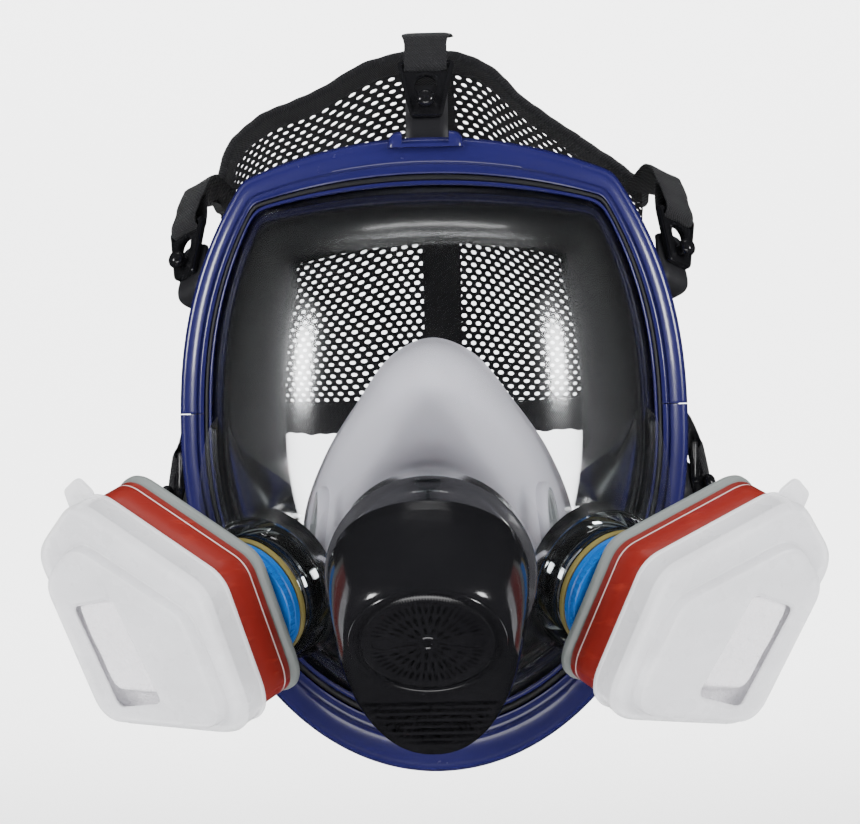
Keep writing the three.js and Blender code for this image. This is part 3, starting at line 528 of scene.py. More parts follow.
def loft(rings: Sequence[np.ndarray], joined: bool = False) -> Shape:
    """The quads through a list of rings, capped at both ends or joined last to first."""
    count = len(rings[0])
    faces: list[tuple[int, ...]] = []
    links = len(rings) if joined else len(rings) - 1
    for i in range(links):
        a, b = i * count, ((i + 1) % len(rings)) * count
        faces += [(a + j, a + (j + 1) % count, b + (j + 1) % count, b + j) for j in range(count)]
    points = np.vstack(rings)
    if not joined:
        last = (len(rings) - 1) * count
        for start, turn in ((0, True), (last, False)):
            middle = len(points)
            points = np.vstack([points, points[start : start + count].mean(axis=0)])
            for j in range(count):
                pair = (start + j, start + (j + 1) % count)
                faces.append((*(pair[::-1] if turn else pair), middle))
    return points, faces


def turned(profile: Sequence[Pair], count: int = 64) -> Shape:
    """A body turned about Z from [radius, height] pairs: a ring, unless its ends are on the axis."""
    angles = np.linspace(0, 2 * math.pi, count, endpoint=False)
    flat = np.stack([np.cos(angles), np.sin(angles)], axis=1)
    rings = [np.column_stack([flat * max(r, 1e-4), np.full(count, h)]) for r, h in profile]
    return loft(rings, profile[0][0] > 0)


def block(size: Triple, at: Triple = (0.0, 0.0, 0.0)) -> Shape:
    """A box about a point, for cutting with."""
    w, d, h = (s / 2 for s in size)
    low = [(-w, -d, -h), (w, -d, -h), (w, d, -h), (-w, d, -h)]
    rings = [np.array(low, float) + at, np.array([(x, y, -z) for x, y, z in low], float) + at]
    return loft(rings)


def upright(outline: Sequence, heights: Sequence[float]) -> Shape:
    """A body with one outline, standing between two heights."""
    return loft([np.column_stack([outline, np.full(len(outline), h)]) for h in heights])


def wedge(radii: Pair, heights: Pair, turns: Pair, count: int) -> Shape:
    """A wedge of a ring.

    Args:
        radii: Its inner and outer radius.
        heights: Its lower and upper height.
        turns: The angles that it runs between.
        count: Points along each of its arcs.

    Returns:
        The wedge, about Z.
    """
    angles = np.linspace(*turns, count)
    inner, outer = radii
    outline = [(outer * math.cos(t), outer * math.sin(t)) for t in angles]
    outline += [(inner * math.cos(t), inner * math.sin(t)) for t in angles[::-1]]
    return upright(outline, heights)


def moved(shape: Shape, matrix: np.ndarray) -> Shape:
    """A shape taken from its own frame to the mask's by a 4 x 4 matrix."""
    points = shape[0] @ matrix[:3, :3].T + matrix[:3, 3]
    return points, shape[1]


def basis(x: np.ndarray, y: np.ndarray, z: np.ndarray, at: Iterable[float]) -> np.ndarray:
    """A 4 x 4 matrix from three axes and a place."""
    matrix = np.eye(4)
    matrix[:3, 0], matrix[:3, 1], matrix[:3, 2], matrix[:3, 3] = x, y, z, list(at)
    return matrix


def unit(v: Iterable[float]) -> np.ndarray:
    """A vector of length 1."""
    a = np.asarray(list(v), float)
    return a / np.linalg.norm(a)


class Maker:
    """Makes mesh objects from shapes, and joins, cuts and dresses them."""

    @staticmethod
    def raw(name: str, shape: Shape, uv: Optional[np.ndarray] = None) -> Piece:
        """An object of a shape in millimetres, with shared points merged and faces pointing out.

        Args:
            name: The object's name.
            shape: Its points and faces.
            uv: A place on its map for each point, if it has one.

        Returns:
            The new object.
        """
        mesh = bpy.data.meshes.new(name)
        mesh.from_pydata([tuple(p * MM) for p in shape[0]], [], shape[1])
        if uv is not None:
            loops = np.zeros(len(mesh.loops), int)
            mesh.loops.foreach_get("vertex_index", loops)
            mesh.uv_layers.new(name="UVMap").data.foreach_set("uv", uv[loops].astype(np.float32).ravel())
        bm = bmesh.new()
        bm.from_mesh(mesh)
        bmesh.ops.remove_doubles(bm, verts=bm.verts, dist=2e-7)
        bmesh.ops.dissolve_degenerate(bm, edges=bm.edges, dist=1e-8)
        bmesh.ops.recalc_face_normals(bm, faces=bm.faces)
        bm.to_mesh(mesh)
        bm.free()
        piece = bpy.data.objects.new(name, mesh)
        bpy.context.scene.collection.objects.link(piece)
        return piece

    @staticmethod
    def mapped(shape: Shape, path: np.ndarray, width: float, columns: int) -> tuple[Shape, np.ndarray]:
        """A ribbon and its map in millimetres, along and across.

        Args:
            shape: The ribbon's points and faces.
            path: Its middle line.
            width: Its width.
            columns: Points across its face.

        Returns:
            The shape, and a place on the map for each of its points.
        """
        steps = np.linalg.norm(np.diff(path, axis=0), axis=1)
        along = np.repeat(np.r_[0.0, np.cumsum(steps)], 2 * columns)
        across = np.linspace(0, width, columns)
        uv = np.column_stack([along, np.tile(np.r_[across, across[::-1]], len(path))])
        return shape, np.vstack([uv, [0.0, width / 2], [along[-1], width / 2]])

    @staticmethod
    def unwrap(piece: Piece, place: Callable[[np.ndarray], Pair], turn: float) -> None:
        """Gives a closed band a map in millimetres.

        Args:
            piece: The band's object.
            place: Gives how far along and across a point lies.
            turn: The length once round, at which the map starts again.
        """
        mesh = piece.data
        layer = mesh.uv_layers.new(name="UVMap")
        found = [place(np.array(vertex.co)) for vertex in mesh.vertices]
        for face in mesh.polygons:
            spots = [found[mesh.loops[i].vertex_index] for i in face.loop_indices]
            farthest = max(spot[0] for spot in spots)
            for i, (along, across) in zip(face.loop_indices, spots):
                layer.data[i].uv = (along + turn if farthest - along > turn / 2 else along, across)

    @staticmethod
    def bake(piece: Piece) -> Piece:
        """Turns an object's modifiers into its mesh."""
        bpy.context.view_layer.update()
        graph = bpy.context.evaluated_depsgraph_get()
        evaluated = piece.evaluated_get(graph)
        mesh = bpy.data.meshes.new_from_object(evaluated, preserve_all_data_layers=True, depsgraph=graph)
        piece.modifiers.clear()
        old = piece.data
        piece.data = mesh
        bpy.data.meshes.remove(old)
        return piece

    @classmethod
    def combine(cls, piece: Piece, others: Iterable[Piece], operation: str) -> Piece:
        """Adds or cuts other closed objects, which are used up.

        Args:
            piece: The object changed.
            others: The objects it takes in or loses.
            operation: UNION, DIFFERENCE or INTERSECT.

        Returns:
            The changed object.
        """
        others = list(others)
        for other in others:
            modifier = piece.modifiers.new("combine", "BOOLEAN")
            modifier.operation = operation
            modifier.solver = "MANIFOLD"
            modifier.object = other
            cls.bake(piece)
        for other in others:
            mesh = other.data
            bpy.data.objects.remove(other)
            bpy.data.meshes.remove(mesh)
        return piece

    @classmethod
    def join(cls, piece: Piece, *shapes: Shape) -> Piece:
        """Adds closed shapes to a piece."""
        return cls.combine(piece, [cls.raw("shape", shape) for shape in shapes], "UNION")

    @classmethod
    def cut(cls, piece: Piece, *shapes: Shape) -> Piece:
        """Cuts closed shapes out of a piece."""
        return cls.combine(piece, [cls.raw("shape", shape) for shape in shapes], "DIFFERENCE")

    @classmethod
    def trim(cls, piece: Piece, shape: Shape) -> Piece:
        """Keeps only what lies inside a closed shape."""
        return cls.combine(piece, [cls.raw("shape", shape)], "INTERSECT")

    @staticmethod
    def bevel(piece: Piece, width: float, segments: int = 2, angle: float = 35.0) -> Piece:
        """Rounds a piece's sharp edges by a width in millimetres."""
        modifier = piece.modifiers.new("edge", "BEVEL")
        modifier.width = width * MM
        modifier.segments = segments
        modifier.limit_method = "ANGLE"
        modifier.angle_limit = math.radians(angle)
        modifier.harden_normals = False
        return Maker.bake(piece)

    @staticmethod
    def dress(
        piece: Piece, finish: object, body: str, nodes: Sequence[str] = (), angle: float = 32.0
    ) -> Piece:
        """Gives a finished piece its material, its body and the solids it stands for.

        Args:
            piece: The finished object.
            finish: Its finish.
            body: The body it rides on.
            nodes: The solids that it replaces.
            angle: Edges sharper than this stay sharp, in degrees.

        Returns:
            The piece.
        """
        mesh = piece.data
        mesh.materials.clear()
        mesh.materials.append(Finishes.material(finish))
        mesh.polygons.foreach_set("use_smooth", np.ones(len(mesh.polygons), bool))
        mesh.polygons.foreach_set("material_index", np.zeros(len(mesh.polygons), int))
        mesh.set_sharp_from_angle(angle=math.radians(angle))
        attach(piece, body)
        if nodes:
            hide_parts(*nodes)
        log.info("%s: %d faces on %s", piece.name, len(mesh.polygons), body)
        return piece

    @staticmethod
    def recolour(names: Iterable[str], finish: object) -> None:
        """Gives solids that stay as they are a finish."""
        for name in names:
            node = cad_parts[name]
            node.data.materials.clear()
            node.data.materials.append(Finishes.material(finish))


class Nodes:
    """A Geometry Nodes tree while it is put together, and its result as a plain mesh."""

    def __init__(self, name: str, inputs: dict[str, float]) -> None:
        """Starts a tree with named number inputs."""
        self.tree = bpy.data.node_groups.new(name, "GeometryNodeTree")
        self.tree.interface.new_socket("Geometry", in_out="INPUT", socket_type="NodeSocketGeometry")
        self.tree.interface.new_socket("Geometry", in_out="OUTPUT", socket_type="NodeSocketGeometry")
        self.keys: dict[str, str] = {}
        self.values = inputs
        for key, value in inputs.items():
            kind = "NodeSocketInt" if isinstance(value, int) else "NodeSocketFloat"
            self.keys[key] = self.tree.interface.new_socket(key, in_out="INPUT", socket_type=kind).identifier
        self.start = self.tree.nodes.new("NodeGroupInput")

    def add(
        self,
        kind: str,
        inputs: Optional[dict[Union[int, str], object]] = None,
        settings: Optional[dict[str, object]] = None,
    ) -> bpy.types.Node:
        """Adds a node with its settings, and values or links for its sockets."""
        node = self.tree.nodes.new(kind)
        for key, value in (settings or {}).items():
            setattr(node, key, value)
        for key, value in (inputs or {}).items():
            if isinstance(value, Socket):
                self.tree.links.new(value, node.inputs[key])
            else:
                node.inputs[key].default_value = value
        return node

    def given(self, key: str) -> Socket:
        """The socket of a named input."""
        return self.start.outputs[key]

    def math(self, operation: str, *values: object) -> Socket:
        """One Math node's result."""
        return self.add("ShaderNodeMath", dict(enumerate(values)), {"operation": operation}).outputs[0]

    def xyz(self, x: object = 0.0, y: object = 0.0, z: object = 0.0) -> Socket:
        """A vector of three numbers or sockets."""
        return self.add("ShaderNodeCombineXYZ", {0: x, 1: y, 2: z}).outputs[0]

    def split(self) -> bpy.types.Node:
        """The three numbers of each point's place."""
        spot = self.add("GeometryNodeInputPosition").outputs[0]
        return self.add("ShaderNodeSeparateXYZ", {0: spot})

    def result(self, name: str, geometry: Socket, finish: object) -> Piece:
        """Ends the tree and runs it.

        Args:
            name: The name of the object made.
            geometry: The socket whose geometry is wanted.
            finish: The finish set on it.

        Returns:
            A new object with a plain mesh.
        """
        real = self.add("GeometryNodeRealizeInstances", {"Geometry": geometry})
        painted = self.add(
            "GeometryNodeSetMaterial", {"Geometry": real.outputs[0], "Material": Finishes.material(finish)}
        )
        out = self.tree.nodes.new("NodeGroupOutput")
        self.tree.links.new(painted.outputs[0], out.inputs[0])
        mesh = bpy.data.meshes.new(name)
        piece = bpy.data.objects.new(name, mesh)
        bpy.context.scene.collection.objects.link(piece)
        modifier = piece.modifiers.new("pattern", "NODES")
        modifier.node_group = self.tree
        for key, value in self.values.items():
            modifier[self.keys[key]] = value
        return Maker.bake(piece)


# ---- The lines that every piece follows ------------------------------------------------------------------


class Side(Enum):
    """The two sides of the mask, as it is seen from the front."""

    LEFT = -1
    RIGHT = 1

    @property
    def label(self) -> str:
        """The word that its solids' names start with."""
        return self.name.lower()


MIRROR = np.diag([-1.0, 1.0, 1.0, 1.0])


@dataclass(frozen=True)
class Lines:
    """The mask's outline from the front, and the curved surface on which its frame lies."""

    half_width: float = 90.0
    top: float = 102.0
    bottom: float = 119.0
    corner: Pair = (65.3, 89.2)
    side_bow: float = 2.45
    front: float = -62.0
    side_sweep: float = 22.0
    end_sweep: float = 4.0
    count: int = 384
    split: float = 7.4

    @property
    def angles(self) -> np.ndarray:
        """The angles round the outline at which loops are read."""
        return np.linspace(-math.pi / 2, 1.5 * math.pi, self.count, endpoint=False)

    def _radii(self, inset: float) -> np.ndarray:
        """The outline's distance from the middle on 1440 even angles, with its upper corners rounded."""
        width = self.half_width - inset
        bottom = self.bottom - 1.7 * inset
        cx, cz = self.corner[0] - 0.41 * inset, self.corner[1] - 0.93 * inset
        rise = self.top - 1.4 * inset - cz
        radius = (cx**2 + rise**2) / (2 * rise)
        a = np.linspace(-math.pi / 2, 0, 160)
        z = np.linspace(0, 1, 120)[1:]
        x = np.linspace(cx, 0, 120)[1:]
        half = np.vstack(
            [
                np.column_stack([width * np.cos(a), bottom * np.sin(a)]),
                np.column_stack([width - (width - cx) * z**self.side_bow, cz * z]),
                np.column_stack([x, cz + rise - radius + np.sqrt(radius**2 - x**2)]),
            ]
        )
        polar = np.arctan2(half[:, 1], half[:, 0])
        even = np.linspace(-math.pi, math.pi, 1440, endpoint=False)
        folded = np.arctan2(np.sin(even), np.abs(np.cos(even)))
        raw = np.interp(folded, polar, np.hypot(half[:, 0], half[:, 1]))
        reach = np.arange(-40, 41)
        weights = np.exp(-((reach / (5.0 if inset < 11 else 9.0)) ** 2))
        soft = np.convolve(np.r_[raw[-40:], raw, raw[:40]], weights / weights.sum(), "valid")
        near = np.exp(-(((folded - math.atan2(cz, cx)) / 0.2) ** 4))
        return raw * (1 - near) + soft * near

    def outline(self, inset: float, angles: Optional[np.ndarray] = None) -> np.ndarray:
        """Points on the outline at an inset, as [x, z] rows."""
        a = self.angles if angles is None else angles
        table = self._radii(inset)
        even = np.linspace(-math.pi, math.pi, 1440, endpoint=False)
        wrapped = (a + math.pi) % (2 * math.pi) - math.pi
        r = np.interp(wrapped, np.r_[even, math.pi], np.r_[table, table[0]])
        return np.column_stack([r * np.cos(a), r * np.sin(a)])

    def face(self, x: np.ndarray, z: np.ndarray) -> np.ndarray:
        """How far back the frame's front face lies at a place in the front view."""
        return self.front + self.side_sweep * (x / 90.0) ** 2 + self.end_sweep * (z / 110.0) ** 2

    def loop(self, inset: float, back: float) -> np.ndarray:
        """A loop round the frame at an inset, `back` behind its front face."""
        flat = self.outline(inset)
        return np.column_stack([flat[:, 0], self.face(flat[:, 0], flat[:, 1]) + back, flat[:, 1]])

    def rail(self, section: Sequence[Pair]) -> Shape:
        """A closed rail of one section, as [inset, back] pairs, all round the frame."""
        return loft([self.loop(inset, back) for inset, back in section], True)

    def lift(self, half: Sequence[Pair], grow: float, y: float, middle: float = 0.0) -> np.ndarray:
        """A loop of a right half outline, mirrored, at a depth and read round a middle height.

        Args:
            half: [x, z] pairs from the bottom up to the top.
            grow: How far outwards it is moved.
            y: Its depth.
            middle: The height about which its angles are measured.

        Returns:
            The loop's points.
        """
        right = [(x, 0.0, z) for x, z in half]
        left = [(-x, 0.0, z) for x, z in half[1:-1][::-1]]
        fine = catmull(right + left, np.linspace(0, 1, 1440, endpoint=False), True)
        polar = np.arctan2(fine[:, 2] - middle, fine[:, 0])
        order = np.argsort(polar)
        r = np.hypot(fine[:, 0], fine[:, 2] - middle)[order] + grow
        a = (self.angles + math.pi) % (2 * math.pi) - math.pi
        found = np.interp(a, polar[order], r, period=2 * math.pi)
        return np.column_stack(
            [found * np.cos(self.angles), np.full(self.count, y), middle + found * np.sin(self.angles)]
        )


LINES = Lines()
EDGE = 13.7  # the visor's edge, inside the frame's outline
BULGE = 46.0
SKIN = 2.4


def dome_point(angles: np.ndarray, share: float, deeper: float) -> np.ndarray:
    """Points on the visor's dome, on the way from its middle to its edge, `deeper` under its skin."""
    edge = LINES.outline(EDGE + deeper, angles)
    x, z = edge[:, 0] * share, edge[:, 1] * share
    rise = (BULGE - deeper) * math.sqrt(max(0.0, 1 - share**2.6))
    y = LINES.front + (LINES.face(edge[:, 0], edge[:, 1]) - LINES.front) * share**2 - rise
    return np.column_stack([x, y, z])


def dome(deeper: float, steps: int = 44, back: Sequence[float] = (2.4,)) -> list[np.ndarray]:
    """Rings over the dome from its middle to its edge, and then straight back."""
    turns = np.linspace(0.012, math.pi / 2, steps)
    rings = [dome_point(LINES.angles, math.sin(t) ** (1 / 1.3), deeper) for t in turns]
    return rings + [rings[-1] + [0.0, b, 0.0] for b in back]


def tilted(at: Triple, tilt: float) -> np.ndarray:
    """The frame of a piece on the centreline, its +Z pointing forwards and down."""
    s, c = math.sin(tilt), math.cos(tilt)
    return basis(np.array([1, 0, 0]), np.array([0, -s, c]), np.array([0, -c, -s]), at)


def port_frame(side: Side) -> np.ndarray:
    """The frame of a filter port, its +Z pointing out along its axis."""
    lean, fall = 0.698, 0.553
    flat, up = math.cos(fall), math.sin(fall)
    axis = np.array([-flat * math.sin(lean), -math.cos(lean), -up * math.sin(lean)])
    across = np.array([up, 0.0, -flat])
    left = basis(np.cross(across, axis), across, axis, (-56, -84, -52))
    return left if side is Side.LEFT else MIRROR @ left


MOUTH = tilted((0, -107, -48), 0.3)
OUTLET = tilted((0, -150, -66.5), math.pi / 4)


def twist(angle: float) -> np.ndarray:
    """A turn about Z."""
    c, s = math.cos(angle), math.sin(angle)
    return basis(np.array([c, s, 0]), np.array([-s, c, 0]), np.array([0, 0, 1.0]), (0, 0, 0))


def shifted(x: float = 0.0, y: float = 0.0, z: float = 0.0) -> np.ndarray:
    """A move without a turn."""
    return basis(np.array([1.0, 0, 0]), np.array([0, 1.0, 0]), np.array([0, 0, 1.0]), (x, y, z))


# ---- Frame -----------------------------------------------------------------------------------------------


@dataclass
class Frame:
    """The two halves of the hard frame, with their clamp screws."""

    section: tuple[Pair, ...] = (
        (0.7, 11.0), (0.15, 10.3), (0.0, 9.2), (0.0, 3.0), (0.05, 0.0), (0.3, -1.2), (0.75, -2.4),
        (1.2, -2.95),
        (1.6, -3.05), (2.0, -3.0), (2.5, -3.3), (3.2, -3.62), (4.4, -3.86), (5.8, -3.97), (6.4, -3.85),
        (6.75, -3.4), (7.0, -2.9), (7.5, -2.75), (8.1, -2.85), (8.5, -3.2), (8.9, -3.45), (9.25, -3.3),
        (9.4, -2.7), (9.4, -0.5), (3.2, -0.4), (3.2, 8.8), (5.8, 8.8), (5.8, 10.7), (5.4, 11.0),
    )
    gap: float = 0.15
    boss: Triple = (86.0, -25.0, 7.4)
    boss_radius: float = 3.9
    boss_height: float = 8.0

    def build(self) -> None:
        """Builds the frame's halves and the screws."""
        for up, name in ((1, "upper_frame"), (-1, "lower_frame")):
            self._half(up, name)
        self._screws()
        self._seals()

    def _half(self, up: int, name: str) -> Piece:
        """One half of the frame, above or below the split."""
        piece = Maker.raw(f"{name}_shell", LINES.rail(self.section))
        keep = Maker.raw("keep", block((240, 120, 200), (0, -40, LINES.split + up * (100 + self.gap))))
        Maker.combine(piece, [keep], "INTERSECT")
        if up > 0:
            Maker.combine(piece, [self._crown()], "UNION")
        for side in Side:
            middle = LINES.split + up * (self.boss_height / 2 + self.gap)
            at = (side.value * self.boss[0], self.boss[1], middle)
            r, h = self.boss_radius, self.boss_height / 2
            ear = turned([(0, -h), (r - 0.5, -h), (r, -h + 0.5), (r, h - 0.5), (r - 0.5, h), (0, h)], 40)
            web = block((5, 7, 2 * h - 0.6), (side.value * (self.boss[0] + 1.2), self.boss[1] - 4.5, middle))
            hole = turned([(0, -h - 1), (1.9, -h - 1), (1.9, h + 1), (0, h + 1)], 32)
            Maker.join(piece, moved(ear, shifted(*at)), web)
            Maker.cut(piece, moved(hole, shifted(*at)))
        Maker.bevel(piece, 0.3, 2, 62.0)
        return Maker.dress(piece, Finishes.BLUE, "mask", (name,), 38.0)

    def _crown(self) -> Piece:
        """The moulded block in the middle of the top, cut away where the uppermost lug comes over it."""
        rings = []
        for width, front, z in (
            (13.4, -65.9, 98.0), (13.2, -65.8, 99.6), (12.8, -65.5, 101.2), (12.2, -65.0, 102.4),
            (11.4, -64.2, 103.2),
            (10.4, -63.2, 103.6),
        ):
            a = np.linspace(0, 2 * math.pi, 48, endpoint=False)
            c, s = np.cos(a), np.sin(a)
            x = width * np.sign(c) * np.abs(c) ** 0.35
            y = (front - 52) / 2 + (-52 - front) / 2 * np.sign(s) * np.abs(s) ** 0.35
            rings.append(np.column_stack([x, y, np.full(48, z)]))
        piece = Maker.raw("crown", loft(rings))
        notch = Maker.raw("notch", block((16.4, 20.0, 8.0), (0, -60.0, 103.2)))
        return Maker.combine(piece, [notch], "DIFFERENCE")

    def _screws(self) -> None:
        """The two clamp screws with their cross-slotted round heads and hexagonal nuts."""
        for side in Side:
            place = shifted(side.value * self.boss[0], self.boss[1], self.boss[2])
            reach = self.boss_height + self.gap
            head = [
                (0, -reach - 2.6), (1.3, -reach - 2.6), (1.6, -reach - 2.2), (1.6, reach + 0.4),
                (3.0, reach + 0.4),
                (3.1, reach + 0.6), (3.0, reach + 1.3), (2.5, reach + 1.9), (1.6, reach + 2.2),
                (0, reach + 2.3),
            ]
            screw = Maker.raw(f"{side.label}_screw", moved(turned(head, 40), place))
            cuts = [
                Maker.raw("cross", moved(block(size, (0, 0, reach + 2.4)), place))
                for size in ((3.6, 0.8, 1.8), (0.8, 3.6, 1.8))
            ]
            Maker.combine(screw, cuts, "DIFFERENCE")
            Maker.dress(screw, Finishes.STEEL, "mask", (f"{side.label}_clamp_screw",), 30.0)
            ring = [(1.9, -reach - 2.6), (3.4, -reach - 2.6), (3.4, -reach - 0.3), (1.9, -reach - 0.3)]
            nut = Maker.raw(f"{side.label}_nut", moved(turned(ring, 6), place))
            Maker.bevel(nut, 0.2, 2, 40.0)
            Maker.dress(nut, Finishes.STEEL, "mask", (f"{side.label}_clamp_nut",), 30.0)

    def _seals(self) -> None:
        """The rubber gasket and the blue lip between the frame and the visor."""
        gasket = (
            (9.55, -0.25), (9.55, -2.6), (9.75, -3.1), (10.2, -3.3), (10.7, -3.1), (10.9, -2.6),
            (10.9, -0.25),
        )
        piece = Maker.raw("visor_gasket_ring", LINES.rail(gasket))
        Maker.dress(piece, Finishes.BLACK_RUBBER, "mask", ("visor_gasket",), 50.0)
        lip = (
            (11.0, -0.25), (11.0, -3.0), (11.2, -3.4), (11.6, -3.6), (12.0, -3.5), (12.2, -3.1), (12.2, -0.25),
        )
        piece = Maker.raw("visor_trim_ring", LINES.rail(lip))
        Maker.dress(piece, Finishes.BLUE, "mask", ("visor_trim",), 50.0)


# ---- Visor -----------------------------------------------------------------------------------------------


@dataclass
class Visor:
    """The domed clear visor, with its flared necks for the two ports and the mouth."""

    flange_from: float = 4.0
    neck_bore: float = 24.6
    mouth_bore: float = 33.3

    def build(self) -> None:
        """Builds the visor."""
        outer = dome(0.0, 56, ())
        steep = [LINES.loop(EDGE, -3.0), LINES.loop(13.2, -2.2), LINES.loop(12.6, -1.0), LINES.loop(12.45, 2.4)]
        visor = Maker.raw("visor_shell", loft(outer + steep))
        for side in Side:
            Maker.combine(visor, [self._neck(side)], "UNION")
        mouth = [
            (0, -22), (43, -22), (40.5, -15), (38.2, -9), (36.6, -4.5), (35.9, -2), (35.7, -0.6), (35.2, 0), (0, 0),
        ]
        Maker.join(visor, moved(turned(mouth, 128), MOUTH))
        Maker.cut(visor, loft(dome(SKIN, 44, (30.0,))))
        flange = LINES.rail(((self.flange_from, 0), (EDGE + 1.2, 0), (EDGE + 1.2, 2.4), (self.flange_from, 2.4)))
        Maker.join(visor, flange)
        bores = []
        for side in Side:
            r = self.neck_bore
            bores.append(
                Maker.raw("bore", moved(turned([(0, -42), (r, -42), (r, 25), (0, 25)], 96), port_frame(side)))
            )
        r = self.mouth_bore
        bores.append(Maker.raw("bore", moved(turned([(0, -26), (r, -26), (r, 30), (0, 30)], 128), MOUTH)))
        Maker.combine(visor, bores, "DIFFERENCE")
        Maker.dress(visor, Finishes.CLEAR, "mask", ("visor",), 24.0)

    def _neck(self, side: Side) -> Piece:
        """The flared neck round one port, kept clear of the frame."""
        angles = np.linspace(0, 2 * math.pi, 96, endpoint=False)
        rings = []
        for radius, drift, height in (
            (46.0, -14.0, -30.0), (41.0, -10.0, -22.0), (35.5, -6.0, -14.0), (30.6, -2.4, -7.0),
            (28.0, -0.5, -3.2),
            (27.2, 0.0, -1.6), (26.8, 0.0, -1.0),
        ):
            rings.append(
                np.column_stack(
                    [radius * np.cos(angles), drift + radius * np.sin(angles), np.full(96, height)]
                )
            )
        piece = Maker.raw("neck", moved(loft(rings), port_frame(side)))
        clear = LINES.rail(((-30, -8.0), (14.2, -8.0), (14.2, 40), (-30, 40)))
        return Maker.cut(piece, clear)


# ---- Rubber ----------------------------------------------------------------------------------------------

OPENING = (
    (0, -90), (20, -87), (36, -78), (46, -62), (51, -40), (56, -18), (61, 2), (60, 18), (56, 34), (53.5, 48),
    (55, 62), (54, 74), (46, 83), (24, 87), (0, 88),
)


@dataclass(frozen=True)
class Anchor:
    """Where a strap is fixed: its stud's foot, the strap's pull, the ball's way out and the lug's root."""

    label: str
    at: Triple
    pull: Triple
    out: Triple
    root: Triple

    @property
    def place(self) -> np.ndarray:
        """The frame of its stud and buckle: +Y along the pull and +Z outwards."""
        up = unit(self.pull)
        out = np.array(self.out, float)
        out = unit(out - up * (out @ up))
        return basis(np.cross(up, out), up, out, self.at)


ANCHORS = (
    Anchor("top", (0, -44.6, 115.5), (0, 0.24, 0.97), (0, -0.97, 0.24), (0, -37, 86)),
    Anchor("left_temple", (-88.5, -23, 62), (0.03, 0.4, 0.92), (-0.72, -0.6, 0.2), (-70, -18, 45)),
    Anchor("right_temple", (88.5, -23, 62), (-0.03, 0.4, 0.92), (0.72, -0.6, 0.2), (70, -18, 45)),
    Anchor("left_cheek", (-94, -15, -22), (-0.1, 0.84, 0.54), (-0.97, -0.05, 0.2), (-77, -20, -36)),
    Anchor("right_cheek", (94, -15, -22), (0.1, 0.84, 0.54), (0.97, -0.05, 0.2), (77, -20, -36)),
)


def ribbon(
    path: np.ndarray, across: np.ndarray, width: Union[float, np.ndarray], thickness: float, columns: int = 9
) -> Shape:
    """A closed flat body with rounded edges along a path.

    Args:
        path: Its middle line.
        across: The way across it, one row for each point of the path.
        width: Its width, the same all along or one for each point.
        thickness: Its thickness.
        columns: Points across its face.

    Returns:
        The shape, its rings all alike.
    """
    along = np.gradient(path, axis=0)
    along /= np.linalg.norm(along, axis=1)[:, None]
    side = across - along * (across * along).sum(axis=1)[:, None]
    side /= np.linalg.norm(side, axis=1)[:, None]
    normal = np.cross(along, side)
    half = np.broadcast_to(np.asarray(width, float) / 2, (len(path),))
    t = np.linspace(-1, 1, columns)
    edge = np.sqrt(np.clip(1 - np.abs(t) ** 8, 0, 1)) * 0.5 * thickness
    edge[[0, -1]] = 0.16 * thickness
    rings = []
    for p, s, n, h in zip(path, side, normal, half):
        upper = p + np.outer(t * h, s) + np.outer(edge, n)
        lower = p + np.outer(t * h, s) - np.outer(edge, n)
        rings.append(np.vstack([upper, lower[::-1]]))
    return loft(rings)


@dataclass
class FaceSeal:
    """The rubber seal: its body, its lip against the face and the five lugs for the straps."""

    lug_width: float = 15.0
    lug_thickness: float = 3.8

    def build(self) -> None:
        """Builds the seal."""
        neck = LINES.loop(6.2, 11.6)
        outer = LINES.lift(OPENING, 9.5, -3)
        inner = LINES.loop(16, 5.5)
        lip = LINES.lift(OPENING, 2.4, -11)
        soft = [
            neck,
            self._between(neck, outer, 0.3, 0.0),
            self._between(neck, outer, 0.65, 4.0),
            outer,
            LINES.lift(OPENING, 5.5, 0.0),
            LINES.lift(OPENING, 1.2, -1.6),
            LINES.lift(OPENING, 0.0, -5.0),
            lip,
            self._between(lip, inner, 0.4, -1.5),
            self._between(lip, inner, 0.75, -1.0),
            inner,
        ]
        rings = smooth_rings(soft, 56)
        rings += [LINES.loop(15.4, 3.1), LINES.loop(3.6, 3.1), LINES.loop(3.6, 8.3), LINES.loop(6.2, 8.3)]
        seal = Maker.raw("face_seal_rubber", loft(rings, True))
        for anchor in ANCHORS:
            Maker.combine(seal, [self._lug(anchor)], "UNION")
            hole = moved(turned([(0, -8), (2.0, -8), (2.0, 3), (0, 3)], 32), anchor.place)
            Maker.cut(seal, hole)
        Maker.dress(seal, Finishes.BLACK_RUBBER, "mask", ("face_seal",), 40.0)

    @staticmethod
    def _between(a: np.ndarray, b: np.ndarray, share: float, out: float) -> np.ndarray:
        """A loop between two others, moved outwards."""
        mid = a + (b - a) * share
        flat = np.hypot(mid[:, 0], mid[:, 2])
        scale = 1 + out / flat
        return np.column_stack([mid[:, 0] * scale, mid[:, 1], mid[:, 2] * scale])

    def _lug(self, anchor: Anchor) -> Piece:
        """One lug, with a round boss under its stud and a rounded end."""
        place = anchor.place
        local = [(place @ [0, y, -3.4, 1])[:3] for y in (-11, -3, 7)]
        points = catmull([anchor.root, *local], np.linspace(0, 1, 40))
        ends = np.linspace(0, 1, 40)
        tip = np.sqrt(np.clip(1 - ((ends - 0.94) / 0.075) ** 2, 0, 1))
        width = self.lug_width * np.where(ends > 0.94, tip, 1.0)
        lug = Maker.raw("lug", ribbon(points, np.tile(place[:3, 0], (40, 1)), width, self.lug_thickness, 11))
        boss = turned([(0, -5.4), (5.4, -5.4), (5.4, -1.6), (5.0, -1.2), (0, -1.2)], 48)
        return Maker.join(lug, moved(boss, place))


